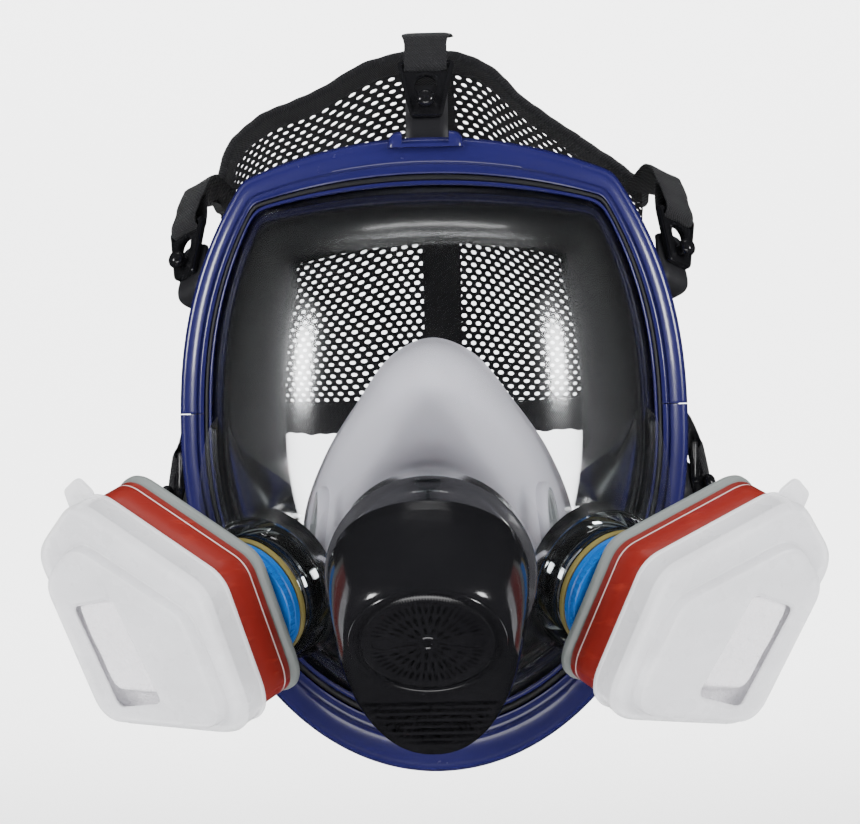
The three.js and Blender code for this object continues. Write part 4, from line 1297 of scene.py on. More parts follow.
# ---- Nose cup --------------------------------------------------------------------------------------------


@dataclass
class NoseCup:
    """The white inner cup over the nose and mouth, with a valve in each cheek."""

    edge: tuple[Pair, ...] = (
        (0, -84), (18, -82), (34, -74), (45, -58), (48, -34), (40, -10), (27, 10), (14, 26), (0, 31.5),
    )
    middle: float = -42.0
    front_radius: float = 30.4
    wall: float = 2.2
    valve_at: Triple = (40.6, -63.0, -34.0)
    valve_radius: float = 13.0

    def build(self) -> None:
        """Builds the cup and its two valves."""
        steps = np.linspace(0, 1, 30)
        bead = 1.3 * np.exp(-(((steps - 1.0) / 0.045) ** 2))
        rings = [self._ring(t, -b) for t, b in zip(steps, bead)]
        last = rings[-1] + [0.0, 1.3, 0.0]
        inner = [self._ring(t, self.wall) for t in steps[::-1]]
        closing = [last, self._ring(1.0, self.wall * 0.5) + [0.0, 1.9, 0.0], inner[0] + [0.0, 1.2, 0.0]]
        cup = Maker.raw("nose_cup_silicone", loft(rings + closing + inner, True))
        r = self.valve_radius
        for side in Side:
            rim = [
                (0, -3), (r + 2.6, -3), (r + 2.6, -0.6), (r + 2.2, 0.6), (r + 1.4, 1.3), (r + 0.8, 1.4), (0, 1.4),
            ]
            pad = Maker.raw("pad", moved(turned(rim, 72), self._valve_frame(side)))
            bore = [(0, -12), (r + 0.3, -12), (r + 0.3, 8), (0, 8)]
            Maker.combine(cup, [pad], "UNION")
            Maker.cut(cup, moved(turned(bore, 72), self._valve_frame(side)))
            self._valve(side)
        Maker.dress(cup, Finishes.SILICONE, "mask", ("nose_cup",), 42.0)

    def _ring(self, along: float, less: float) -> np.ndarray:
        """A ring of the cup, from its front at 0 to the edge that meets the face at 1."""
        edge = LINES.lift(self.edge, 0.0, 0.0, self.middle)
        rim = LINES.lift(self.edge, -less, 0.0, self.middle)
        a = LINES.angles
        spread = (1 - (1 - along) ** (1.9 + 0.6 * np.sin(a)))[:, None]
        r = self.front_radius - less
        local = np.column_stack([r * np.cos(a), r * np.sin(a), np.full(len(a), -13.0), np.ones(len(a))])
        front = (local @ MOUTH.T)[:, :3]
        z = edge[:, 2]
        back = -10 - 26 * np.maximum(0, (z + 10) / 41) ** 1.5 - 10 * np.maximum(0, (-60 - z) / 29)
        point = front + (rim - front) * spread
        point[:, 1] = front[:, 1] + (back - front[:, 1]) * along + less * (1 - along) * 0.8
        return point

    def _valve_frame(self, side: Side) -> np.ndarray:
        """The frame of one valve, its +Z pointing out of the cup."""
        z = unit((0.983, -0.14, 0.12))
        x = np.array([0.0, 1.0, 0.0]) - z * z[1]
        x = unit(x)
        right = basis(x, np.cross(z, x), z, self.valve_at)
        return right if side is Side.RIGHT else MIRROR @ right

    def _valve(self, side: Side) -> None:
        """One valve's seat with its crossbars, and the flap behind it."""
        r = self.valve_radius
        place = self._valve_frame(side)
        profile = [
            (r - 2.4, -2.4), (r, -2.4), (r, 0.7), (r - 0.4, 1.1), (r - 1.0, 1.2), (r - 2.0, 1.1),
            (r - 2.4, 0.7),
        ]
        seat = Maker.raw(f"{side.label}_cup_seat", moved(turned(profile, 64), place))
        bars = [
            Maker.raw("bar", moved(block((2 * r - 3, 2.2, 1.4)), place)),
            Maker.raw("bar", moved(block((2.2, 2 * r - 3, 1.4)), place)),
            Maker.raw("bar", moved(block((2.0, 4.4, 3.2), (0, 0, 0.9)), place)),
        ]
        Maker.combine(seat, bars, "UNION")
        Maker.bevel(seat, 0.25, 2, 50.0)
        Maker.dress(seat, Finishes.SOFT_CLEAR, "mask", (f"{side.label}_cup_valve_seat",), 35.0)
        flap = [(0, -3.6), (r - 1.2, -3.6), (r - 0.8, -3.4), (r - 0.8, -2.9), (r - 1.2, -2.7), (0, -2.7)]
        piece = Maker.raw(f"{side.label}_cup_disc", moved(turned(flap, 64), place))
        Maker.dress(piece, Finishes.SOFT_CLEAR, f"{side.label}_cup_flap", (f"{side.label}_cup_valve_flap",), 35.0)


# ---- Outlet ----------------------------------------------------------------------------------------------


class Cutters:
    """Repeated shapes made with Geometry Nodes, in a piece's own frame and in millimetres."""

    @staticmethod
    def fan(
        name: str, count: int, reach: float, size: Triple, height: float, place: np.ndarray, finish: object,
        slant: float = 0.0, sides: int = 14,
    ) -> Piece:
        """Rounded bars set round a circle, each pointing outwards.

        Args:
            name: The name of the object made.
            count: How many there are.
            reach: How far from the middle each one's own middle lies.
            size: Each one's length outwards, width and depth.
            height: How high their middles lie.
            place: The frame that they are made in.
            finish: Their finish.
            slant: Their tilt, in radians.
            sides: Corners of each bar's outline.

        Returns:
            One object with all of them, in the mask's frame.
        """
        made = Nodes(
            name,
            {
                "Count": count, "Reach": reach, "Length": size[0], "Width": size[1], "Depth": size[2],
                "Height": height, "Slant": slant,
            },
        )
        points = made.add(
            "GeometryNodeMeshCircle", {"Vertices": made.given("Count"), "Radius": made.given("Reach")}
        )
        split = made.split()
        angle = made.math("ARCTAN2", split.outputs[1], split.outputs[0])
        turn = made.xyz(0.0, made.given("Slant"), angle)
        bar = made.add("GeometryNodeMeshCylinder", {"Vertices": sides, "Radius": 0.5, "Depth": 1.0})
        scale = made.xyz(made.given("Length"), made.given("Width"), made.given("Depth"))
        bars = made.add(
            "GeometryNodeInstanceOnPoints",
            {
                "Points": points.outputs[0],
                "Instance": bar.outputs[0],
                "Rotation": turn,
                "Scale": scale,
            },
        )
        rise = made.xyz(0.0, 0.0, made.given("Height"))
        lifted = made.add("GeometryNodeTransform", {"Geometry": bars.outputs[0], "Translation": rise})
        piece = made.result(name, lifted.outputs[0], finish)
        Cutters.settle(piece, place)
        return piece

    @staticmethod
    def louvres(
        name: str, count: int, first: float, pitch: float, widths: Pair, sag: float,
        place: np.ndarray, finish: object,
    ) -> Piece:
        """Bowed slots, one under the other, from wide to narrow.

        Args:
            name: The name of the object made.
            count: How many slots there are.
            first: The place of the first, along Y.
            pitch: The step to the next.
            widths: The widths of the first and the last.
            sag: How far each slot's middle hangs.
            place: The frame that they are made in.
            finish: Their finish.

        Returns:
            One object with all of them, in the mask's frame.
        """
        made = Nodes(
            name,
            {"Count": count, "First": first, "Pitch": pitch, "Wide": widths[0], "Narrow": widths[1], "Sag": sag},
        )
        line = made.add(
            "GeometryNodeMeshLine",
            {
                "Count": made.given("Count"),
                "Start Location": made.xyz(0.0, made.given("First")),
                "Offset": made.xyz(0.0, made.math("MULTIPLY", made.given("Pitch"), -1.0)),
            },
        )
        arc = made.add(
            "GeometryNodeCurveQuadraticBezier",
            {
                "Resolution": 20,
                "Start": (-0.5, 0.0, 0.0),
                "End": (0.5, 0.0, 0.0),
                "Middle": made.xyz(0.0, made.math("MULTIPLY", made.given("Sag"), -2.0)),
            },
        )
        profile = made.add(
            "GeometryNodeCurvePrimitiveQuadrilateral", {"Width": 1.35, "Height": 6.4}, {"mode": "RECTANGLE"}
        )
        tube = made.add(
            "GeometryNodeCurveToMesh",
            {
                "Curve": arc.outputs[0],
                "Profile Curve": profile.outputs[0],
                "Fill Caps": True,
            },
        )
        index = made.add("GeometryNodeInputIndex")
        last = made.math("SUBTRACT", made.given("Count"), 1.0)
        share = made.math("DIVIDE", index.outputs[0], last)
        drop = made.math("SUBTRACT", made.given("Narrow"), made.given("Wide"))
        width = made.math("ADD", made.given("Wide"), made.math("MULTIPLY", share, drop))
        scale = made.xyz(width, 1.0, 1.0)
        slots = made.add(
            "GeometryNodeInstanceOnPoints",
            {
                "Points": line.outputs[0],
                "Instance": tube.outputs[0],
                "Scale": scale,
            },
        )
        piece = made.result(name, slots.outputs[0], finish)
        Cutters.settle(piece, place)
        return piece

    @staticmethod
    def settle(piece: Piece, place: np.ndarray) -> None:
        """Takes a mesh from millimetres in its own frame to metres in the mask's, faces pointing out."""
        bm = bmesh.new()
        bm.from_mesh(piece.data)
        bmesh.ops.remove_doubles(bm, verts=bm.verts, dist=1e-4)
        matrix = Matrix(place.tolist())
        matrix.translation = matrix.translation * MM
        for row in range(3):
            for column in range(3):
                matrix[row][column] *= MM
        bm.transform(matrix)
        bmesh.ops.recalc_face_normals(bm, faces=bm.faces)
        bm.to_mesh(piece.data)
        bm.free()


@dataclass
class Outlet:
    """The black exhalation outlet on the mouth: its egg-shaped barrel, valve and round cap."""

    sections: tuple[tuple[float, float, float, float], ...] = (
        (31.2, 28.2, 45, -35), (31.6, 28.6, 48, -30.5), (32.5, 29.4, 50, -30), (32.5, 29.3, 54, -24),
        (32.0, 28.8, 57, -17.5), (30.8, 28.1, 60, -10), (29.8, 27.5, 61, -6), (28.7, 27.0, 60, -3.2),
        (27.2, 26.3, 58, -0.9), (26.2, 25.9, 54.5, -0.1), (25.6, 25.6, 51, 0),
    )
    cap_radius: float = 23.2
    rim_radius: float = 25.8
    neck_radius: float = 26.8
    collar_radius: float = 33.0
    bulkhead: Pair = (-17.5, -15.5)

    def build(self) -> None:
        """Builds the outlet's pieces."""
        self._housing()
        self._collar()
        self._valve()
        self._cap()

    @staticmethod
    def _disc(radius: float, low: float, high: float, place: np.ndarray, count: int = 96) -> Piece:
        """A plain disc for adding or cutting."""
        return Maker.raw("disc", moved(turned([(0, low), (radius, low), (radius, high), (0, high)], count), place))

    def _egg(self, less: float) -> Shape:
        """The barrel's body, `less` inside its outer skin: blunt above and drawn out below."""
        a = np.linspace(0, 2 * math.pi, 160, endpoint=False)
        c, s = np.cos(a), np.sin(a)
        rings = []
        for i, (width, top, bottom, at) in enumerate(self.sections):
            reach = np.where(s > 0, top - less, bottom - less)
            height = at - (less if i == len(self.sections) - 1 else 0)
            x = (width - less) * np.sign(c) * np.abs(c) ** 0.92
            rings.append(np.column_stack([x, reach * s, np.full(len(a), height)]))
        fine: list[np.ndarray] = []
        for low, high in zip(rings, rings[1:]):
            fine += [low, low + (high - low) / 2]
        return moved(loft([*fine, rings[-1]]), OUTLET)

    def _housing(self) -> None:
        """The barrel, with its duct from the mouth, its bulkhead and its louvres."""
        neck, collar = self.neck_radius, self.collar_radius
        low, high = self.bulkhead
        housing = Maker.raw("exhalation_barrel", self._egg(0.0))
        cuts = [
            Maker.raw("dome", loft(dome(-1.0))),
            self._disc(collar + 0.3, -30, 5.3, MOUTH),
            self._disc(collar + 3.0, -30, 0.3, MOUTH),
        ]
        Maker.combine(housing, cuts, "DIFFERENCE")
        duct = turned([(neck - 2.2, -17), (neck, -17), (neck, 9), (neck - 2.2, 9)], 96)
        Maker.join(housing, moved(duct, MOUTH))
        front = Maker.raw("front", self._egg(2.2))
        Maker.combine(front, [self._disc(90, high, 5, OUTLET)], "INTERSECT")
        hollow = [front, self._disc(21, -34, low, OUTLET), self._disc(neck - 2.2, -30, 8, MOUTH)]
        Maker.combine(housing, hollow, "DIFFERENCE")
        seat = turned([(23.5, -18), (self.rim_radius, -18), (self.rim_radius, -0.2), (23.5, -0.2)], 96)
        wall = Maker.raw("seat", moved(seat, OUTLET))
        Maker.trim(wall, self._egg(0.02))
        Maker.combine(housing, [wall], "UNION")
        bead = [(23.55, -0.6), (25.5, -0.6), (25.5, 0.1), (25.2, 0.55), (24.6, 0.75), (24.0, 0.6), (23.55, 0.2)]
        Maker.join(housing, moved(turned(bead, 128), OUTLET))
        Maker.combine(housing, [self._disc(15, low - 1, high + 1, OUTLET)], "DIFFERENCE")
        slots = Cutters.louvres("louvre_slots", 7, -29.6, 3.35, (36.0, 15.0), 1.3, OUTLET, Finishes.BLACK_GLOSS)
        Maker.combine(slots, [self._disc(26.4, -20, 20, OUTLET)], "DIFFERENCE")
        Maker.combine(housing, [slots], "DIFFERENCE")
        Maker.dress(housing, Finishes.BLACK_GLOSS, "mask", ("exhalation_housing",), 34.0)

    def _collar(self) -> None:
        """The smoky flange between the visor and the barrel, with its forked rib at the top."""
        n, c = self.neck_radius + 0.3, self.collar_radius
        profile = [
            (n, -3.5), (c, -3.5), (c, 0.1), (35.0, 0.12), (35.3, 0.5), (35.1, 1.0), (34.4, 1.35), (32.2, 1.7),
            (31.4, 2.2), (31.0, 3.0), (30.6, 4.1), (29.8, 4.8), (28.6, 5.0), (n + 0.5, 4.9), (n, 4.5),
        ]
        collar = Maker.raw("mouth_flange", moved(turned(profile, 128), MOUTH))
        Maker.dress(collar, Finishes.SMOKE, "mask", ("mouth_collar",), 40.0)
        stem = block((1.5, 4.4, 1.2), (0, 29.6, 5.3))
        arms = [
            moved(block((1.2, 4.6, 1.0), (0, 2.2, 0)), shifted(side * 0.4, 31.2, 3.6) @ twist(-side * 0.95))
            for side in (-1, 1)
        ]
        bar = block((8.4, 0.9, 0.9), (0, 34.2, 2.0))
        rib = Maker.raw("mouth_rib", moved(stem, MOUTH))
        Maker.combine(rib, [Maker.raw("arm", moved(shape, MOUTH)) for shape in (*arms, bar)], "UNION")
        Maker.bevel(rib, 0.25, 2, 40.0)
        Maker.dress(rib, Finishes.COLLAR, "mask", (), 35.0)

    def _valve(self) -> None:
        """The outlet valve's seat with its spokes, and its flap."""
        rim = [(12.6, -15.2), (18, -15.2), (18, -13.6), (17.6, -13.0), (13.2, -13.0), (12.6, -13.4)]
        seat = Maker.raw("outlet_seat", moved(turned(rim, 72), OUTLET))
        spokes = [
            Maker.raw("spoke", moved(block((26, 1.4, 1.3), (0, 0, -14.5)), OUTLET @ twist(i * math.pi / 3)))
            for i in range(3)
        ]
        Maker.combine(seat, [self._disc(2.2, -15.2, -13.8, OUTLET, 40), *spokes], "UNION")
        Maker.bevel(seat, 0.2, 2, 50.0)
        Maker.dress(seat, Finishes.SILICONE, "mask", ("outlet_valve_seat",), 35.0)
        profile = [
            (0, -12.6), (15.1, -12.6), (15.5, -12.4), (15.5, -12.1), (15.1, -11.8), (3, -11.8), (0, -11.8),
        ]
        flap = Maker.raw("outlet_disc", moved(turned(profile, 72), OUTLET))
        Maker.dress(flap, Finishes.SOFT_CLEAR, "outlet_flap", ("outlet_valve_flap",), 35.0)

    def _cap(self) -> None:
        """The round cap: three rings of slots, a finger recess on either side and a milled edge."""
        r = self.cap_radius
        profile = [
            (0, 0.45), (19.4, 0.45), (19.9, 0.75), (20.6, 0.85), (21.2, 0.7), (22.5, -0.2), (r - 0.15, -0.9),
            (r, -1.3), (r, -8), (20, -8), (20, -3.4), (0, -3.4),
        ]
        cap = Maker.raw("outlet_cap", moved(turned(profile, 144), OUTLET))
        blind = Cutters.fan("cap_grooves", 52, 16.4, (4.2, 1.05, 1.5), 0.45, OUTLET, Finishes.BLACK_GLOSS)
        middle = Cutters.fan("cap_slots", 30, 11.2, (4.6, 1.25, 9.0), -1.0, OUTLET, Finishes.BLACK_GLOSS)
        inner = Cutters.fan("cap_inner", 15, 6.2, (3.6, 1.25, 9.0), -1.0, OUTLET, Finishes.BLACK_GLOSS)
        for cutter in (blind, middle, inner):
            kept = [Maker.raw("kept", moved(self._bow(side, 0.8, -8.0, 8.0), OUTLET)) for side in Side]
            Maker.combine(cutter, kept, "DIFFERENCE")
        recesses = [Maker.raw("recess", moved(self._bow(side, 0.0, -2.4, 4.0), OUTLET)) for side in Side]
        Maker.combine(cap, [blind, middle, inner, *recesses], "DIFFERENCE")
        hub = turned([(1.7, -1), (3.3, -1), (3.3, 0.55), (3.0, 0.8), (2.1, 0.8), (1.7, 0.5)], 48)
        Maker.join(cap, moved(hub, OUTLET))
        Maker.combine(cap, [self._disc(1.7, -6, 3, OUTLET, 40)], "DIFFERENCE")
        Maker.dress(cap, Finishes.BLACK_GLOSS, "cap", ("valve_cap",), 30.0)
        teeth = Cutters.fan(
            "cap_milling", 150, 21.95, (2.0, 0.42, 0.5), 0.22, OUTLET, Finishes.BLACK_GLOSS, 0.6, 6
        )
        Maker.dress(teeth, Finishes.BLACK_GLOSS, "cap", (), 30.0)

    @staticmethod
    def _bow(side: Side, grow: float, low: float, high: float) -> Shape:
        """One finger recess: narrow at the middle, wide and round at its outer end."""
        end = np.linspace(-math.pi / 2, math.pi / 2, 18)
        radius = 2.9 + grow
        arc = [(15.2 + radius * math.cos(t), radius * math.sin(t)) for t in end]
        inner = [(3.8 - grow, 0.7 + grow * 0.6), (3.8 - grow, -0.7 - grow * 0.6)]
        outline = np.array([*arc, *inner]) * [side.value, 1]
        return upright(outline, (low, high))


# ---- Filter ports and cartridges -------------------------------------------------------------------------


@dataclass
class FilterPort:
    """The clear collar on one side of the visor, with its inlet valve and gasket."""

    side: Side
    radius: float = 24.3
    bore: float = 20.8
    height: float = 7.0
    lug_angle: float = 0.38

    def build(self) -> None:
        """Builds the port's pieces."""
        place = port_frame(self.side)
        label = self.side.label
        r, b, h = self.radius, self.bore, self.height
        profile = [
            (b, -4), (r, -4), (r, -1.2), (r + 1.0, -0.9), (r + 1.15, -0.4), (r + 1.0, 0.1), (r, 0.4),
            (r, h - 0.9),
            (r - 0.3, h - 0.2), (r - 1.0, h), (b + 0.8, h), (b, h - 0.6), (b, 5.4), (14, 5.4), (14, 3.4),
            (b, 3.4),
        ]
        collar = Maker.raw(f"{label}_clear_collar", moved(turned(profile, 120), place))
        cuts = []
        for i in range(3):
            angle = i * 2 * math.pi / 3 + math.pi / 3
            gate = wedge((12.0, 18.2), (2.0, 7.0), (angle - self.lug_angle, angle + self.lug_angle), 12)
            cuts.append(Maker.raw("gate", moved(gate, place)))
        Maker.combine(collar, cuts, "DIFFERENCE")
        Maker.dress(collar, Finishes.COLLAR, "mask", (f"{label}_port_collar",), 32.0)
        self._valve(place, label)
        gasket = [
            (14.4, h + 0.3), (21.0, h + 0.3), (21.4, h + 0.7), (21.4, 9.0), (21.0, 9.5), (19.2, 9.5),
            (18.6, 9.1),
            (16.6, 9.1), (16.0, 9.5), (14.8, 9.5), (14.4, 9.1),
        ]
        ring = Maker.raw(f"{label}_sealing_ring", moved(turned(gasket, 96), place))
        Maker.dress(ring, Finishes.OLIVE, "mask", (f"{label}_port_gasket",), 40.0)

    def _valve(self, place: np.ndarray, label: str) -> None:
        """The inlet valve's spoked seat, and its flap on the inner side."""
        rim = [(16, -2.6), (20.5, -2.6), (20.5, -0.2), (20.1, 0.2), (16.5, 0.2), (16, -0.3)]
        seat = Maker.raw(f"{label}_inlet_seat", moved(turned(rim, 80), place))
        hub = turned([(0, -2), (3, -2), (3, -0.8), (2.6, -0.4), (0, -0.4)], 40)
        parts = [Maker.raw("hub", moved(hub, place))]
        parts += [
            Maker.raw("spoke", moved(block((33, 1.6, 1.4), (0, 0, -1.2)), place @ twist(turn)))
            for turn in (0.0, math.pi / 2)
        ]
        Maker.combine(seat, parts, "UNION")
        Maker.bevel(seat, 0.2, 2, 50.0)
        Maker.dress(seat, Finishes.BLACK_GLOSS, "mask", (f"{label}_inlet_valve_seat",), 35.0)
        profile = [(0, -3.8), (17.0, -3.8), (17.4, -3.6), (17.4, -3.1), (17.0, -2.9), (0, -2.9)]
        flap = Maker.raw(f"{label}_inlet_disc", moved(turned(profile, 72), place))
        Maker.dress(flap, Finishes.OLIVE, f"{label}_inlet_flap", (f"{label}_inlet_valve_flap",), 35.0)


@dataclass(frozen=True)
class Rounded:
    """A convex outline with rounded corners, which can be grown and read at fixed points."""

    corners: tuple[Pair, ...]
    radius: float
    inset: float = 0.0
    corner_steps: int = 14
    side_steps: int = 8

    def ring(self, grow: float, height: float) -> np.ndarray:
        """Its points at a growth and a height."""
        p = np.array(self.corners, float)
        grow = grow - self.inset
        before, after = np.roll(p, 1, axis=0), np.roll(p, -1, axis=0)
        into = (p - before) / np.linalg.norm(p - before, axis=1)[:, None]
        onto = (after - p) / np.linalg.norm(after - p, axis=1)[:, None]
        n0 = np.column_stack([into[:, 1], -into[:, 0]])
        n1 = np.column_stack([onto[:, 1], -onto[:, 0]])
        p = p + (n0 + n1) * (grow / (1 + (n0 * n1).sum(axis=1)))[:, None]
        half = np.arccos(np.clip((-into * onto).sum(axis=1), -1, 1)) / 2
        setback = (max(self.radius + grow, 0.05) / np.tan(half))[:, None]
        start, end = p - into * setback, p + onto * setback
        t = np.linspace(0, 1, self.corner_steps + 1)[:, None]
        points = []
        for i in range(len(p)):
            points.append(start[i] * (1 - t) ** 2 + p[i] * 2 * t * (1 - t) + end[i] * t**2)
            s = np.linspace(0, 1, self.side_steps + 2)[1:-1, None]
            points.append(end[i] + (start[(i + 1) % len(p)] - end[i]) * s)
        flat = np.vstack(points)
        return np.column_stack([flat, np.full(len(flat), height)])

    def body(self, profile: Sequence[Pair], joined: bool = False) -> Shape:
        """A body through its rings, from [growth, height] pairs."""
        return loft([self.ring(grow, height) for grow, height in profile], joined)

    def length(self, grow: float) -> np.ndarray:
        """How far each of its points lies along the outline."""
        ring = self.ring(grow, 0.0)
        steps = np.linalg.norm(np.roll(ring, -1, axis=0) - ring, axis=1)
        return np.r_[0.0, np.cumsum(steps)]


CASE = Rounded(((36, -50), (46, 13), (-12, 37), (-25, -13), (8, -59)), 13.0, 2.4)
PLATEAU = Rounded(((34.2, -40.0), (43.0, 11.0), (-8.5, 31.5), (-16.5, -8.0), (12.5, -46.5)), 11.0)
WINDOW = Rounded(((28, -28), (33, 9), (13, 14), (9, -24)), 3.0)
TAB = Rounded(((11.5, -64.5), (20.5, -63), (23, -54), (8, -56)), 3.0)


@dataclass
class Cartridge:
    """A filter cartridge on one side, with its prefilter pad and its snap-on retainer."""

    side: Side
    ring_from: float = 9.8
    back_from: float = 16.0
    front_at: float = 44.0
    label_from: float = 22.5
    label_to: float = 38.0
    skirt_from: float = 38.6
    retainer_front: float = 52.0
    plateau_front: float = 56.5
    twist_angle: float = -0.074
    lug_half_angle: float = 0.32

    def __post_init__(self) -> None:
        """Works out its place and its bodies."""
        self.place = port_frame(self.side) @ twist(-self.side.value * self.twist_angle)
        self.name = self.side.label
        self.filter = f"{self.name}_filter"
        self.cover = f"{self.name}_cover"

    def build(self) -> None:
        """Builds the cartridge's pieces."""
        self._bayonet()
        self._shell()
        self._label()
        self._pad()
        self._retainer()
        Maker.recolour([f"{self.name}_carbon_bed"], Finishes.CHARCOAL)

    def _raw(self, name: str, shape: Shape) -> Piece:
        """An object of a shape in the cartridge's own frame."""
        return Maker.raw(f"{self.name}_{name}", moved(shape, self.place))

    def _bayonet(self) -> None:
        """The blue ring with its spigot, its three lugs and a milled grip."""
        top = self.back_from - 0.3
        profile = [
            (10.5, 0.8), (12.9, 0.8), (13.2, 1.1), (13.2, self.ring_from), (20.4, self.ring_from),
            (21.0, self.ring_from + 0.5), (21.0, 12.2), (20.5, 12.6), (20.5, 13.2), (21.0, 13.6),
            (21.0, top - 0.4),
            (20.6, top), (10.5, top),
        ]
        ring = self._raw("bayonet", turned(profile, 96))
        lugs = []
        for i in range(3):
            angle = i * 2 * math.pi / 3
            turns = (angle - self.lug_half_angle, angle + self.lug_half_angle)
            lugs.append(self._raw("lug", wedge((12.2, 17.6), (0.8, 3.0), turns, 10)))
        Maker.combine(ring, lugs, "UNION")
        Maker.dress(ring, Finishes.SKY, self.filter, (f"{self.name}_bayonet_ring",), 32.0)
        grip = Cutters.fan(
            f"{self.name}_grip", 54, 20.9, (0.9, 1.0, 1.9), 14.4, self.place, Finishes.SKY, 0.0, 8
        )
        Maker.dress(grip, Finishes.SKY, self.filter, (), 32.0)

    def _shell(self) -> None:
        """The grey moulded case, with a bead round its back."""
        b, f = self.back_from, self.front_at
        outer = (
            (-12.0, b), (-2.4, b), (-1.2, b + 0.25), (-0.3, b + 1.0), (0.3, b + 1.6), (1.05, b + 2.0),
            (1.35, b + 2.6),
            (1.35, b + 3.8), (1.05, b + 4.4), (0.35, b + 4.9), (0.0, b + 5.4), (0.0, f - 0.4), (-0.3, f),
        )
        shell = self._raw("case", CASE.body(outer))
        cuts = [
            self._raw("inside", CASE.body(((-1.6, b + 2), (-1.6, f + 1)))),
            self._raw("mouth", turned([(0, b - 1), (10.5, b - 1), (10.5, b + 3), (0, b + 3)], 64)),
        ]
        Maker.combine(shell, cuts, "DIFFERENCE")
        Maker.dress(shell, Finishes.GREY, self.filter, (f"{self.name}_cartridge_body",), 34.0)

    def _label(self) -> None:
        """The coated paper band, with its own map in millimetres."""
        low, high = self.label_from, self.label_to
        profile = ((0.15, low), (0.42, low), (0.5, low + 0.1), (0.5, high - 0.1), (0.42, high), (0.15, high))
        band = self._raw("band", CASE.body(profile, True))
        back = np.linalg.inv(self.place)
        ring = CASE.ring(0.5, 0.0)[:, :2]
        lengths = CASE.length(0.5)

        def map_point(p: np.ndarray) -> Pair:
            """How far along and across the band a point lies."""
            local = (back @ [*(p / MM), 1.0])[:3]
            return float(lengths[np.argmin(((ring - local[:2]) ** 2).sum(axis=1))]), float(local[2] - low)

        Maker.unwrap(band, map_point, lengths[-1])
        Maker.dress(band, Finishes.LABEL, self.filter, (f"{self.name}_cartridge_label",), 40.0)

    def _pad(self) -> None:
        """The cotton prefilter, crowned where the window leaves it free."""
        low = self.front_at + 0.3
        side = ((-1.1, 0.0), (-0.6, 0.5), (-0.5, 1.6), (-0.6, 3.2))
        rings = [CASE.ring(grow, low + height) for grow, height in side]
        edge = CASE.ring(-1.4, low + 3.9)
        middle = np.array([19.0, -6.0, 0.0])
        for share in np.linspace(0.0, 0.96, 26):
            ring = edge.copy()
            ring[:, :2] = edge[:, :2] + (middle[:2] - edge[:, :2]) * share
            rise = 6.6 * (1 - math.cos(math.pi * min(1.0, max(0.0, (share - 0.30) / 0.22)))) / 2
            angle = np.arctan2(ring[:, 1] - middle[1], ring[:, 0] - middle[0])
            lumps = 0.16 * np.sin(3 * angle + 9 * share) + 0.12 * np.sin(7 * angle - 23 * share)
            ring[:, 2] = low + 3.9 + rise + lumps * min(1.0, 4 * share)
            rings.append(ring)
        pad = self._raw("prefilter", loft(rings))
        Maker.dress(pad, Finishes.FELT, self.cover, (f"{self.name}_filter_pad",), 60.0)

    def _retainer(self) -> None:
        """The milky snap-on retainer: its skirt with two beads, its raised front and its slanted window."""
        s, r, p = self.skirt_from, self.retainer_front, self.plateau_front
        outer = (
            (0.9, s), (2.3, s), (2.75, s + 0.3), (2.9, s + 0.9), (2.75, s + 1.5), (2.4, s + 1.8),
            (2.4, r - 5.0),
            (2.55, r - 4.7), (2.75, r - 4.2), (2.75, r - 3.4), (2.5, r - 2.9), (2.3, r - 2.2), (1.7, r - 1.0),
            (0.7, r - 0.3), (-0.6, r), (-4.0, r + 0.05),
        )
        raised = (
            (1.2, r - 1.0), (0.9, r + 0.1), (0.3, r + 0.5), (0.0, r + 1.2), (-0.15, p - 1.5), (-0.5, p - 0.6),
            (-1.2, p - 0.1), (-2.4, p + 0.05), (-5.0, p + 0.1),
        )
        retainer = self._raw("cover", CASE.body(outer))
        Maker.combine(retainer, [self._raw("raised", PLATEAU.body(raised))], "UNION")
        thumb = TAB.body(((-0.3, s), (0.0, s + 0.2), (0.0, s + 1.4), (-0.3, s + 1.6)))
        Maker.combine(retainer, [self._raw("tab", thumb)], "UNION")
        pad_front = self.front_at + 4.3
        cuts = [
            self._raw("skirt", CASE.body(((0.8, s - 1), (0.8, pad_front + 0.3)))),
            self._raw("room", PLATEAU.body(((-1.7, pad_front), (-1.7, p - 2.4), (-2.3, p - 1.6)))),
            self._raw("window", WINDOW.body(((0.0, pad_front), (0.0, p - 0.9), (0.5, p - 0.4), (1.6, p + 0.3)))),
        ]
        Maker.combine(retainer, cuts, "DIFFERENCE")
        Maker.dress(retainer, Finishes.MILK, self.cover, (f"{self.name}_retainer",), 32.0)


# ---- Harness ---------------------------------------------------------------------------------------------

CROWN = (
    (-80, 6, 86), (-75, 12, 107), (-64, 20, 119), (-46, 30, 128), (-22, 40, 142), (0, 42, 145.5),
    (19, 40, 140),
    (34, 34, 125), (51, 25, 111), (67, 14, 98), (79, 6, 87),
)
NAPE = (
    (-72, 52, 2), (-62, 78, 0), (-44, 94, -2), (-20, 101, -3), (0, 103, -3), (20, 101, -3), (44, 94, -2),
    (62, 78, 0), (72, 52, 2),
)


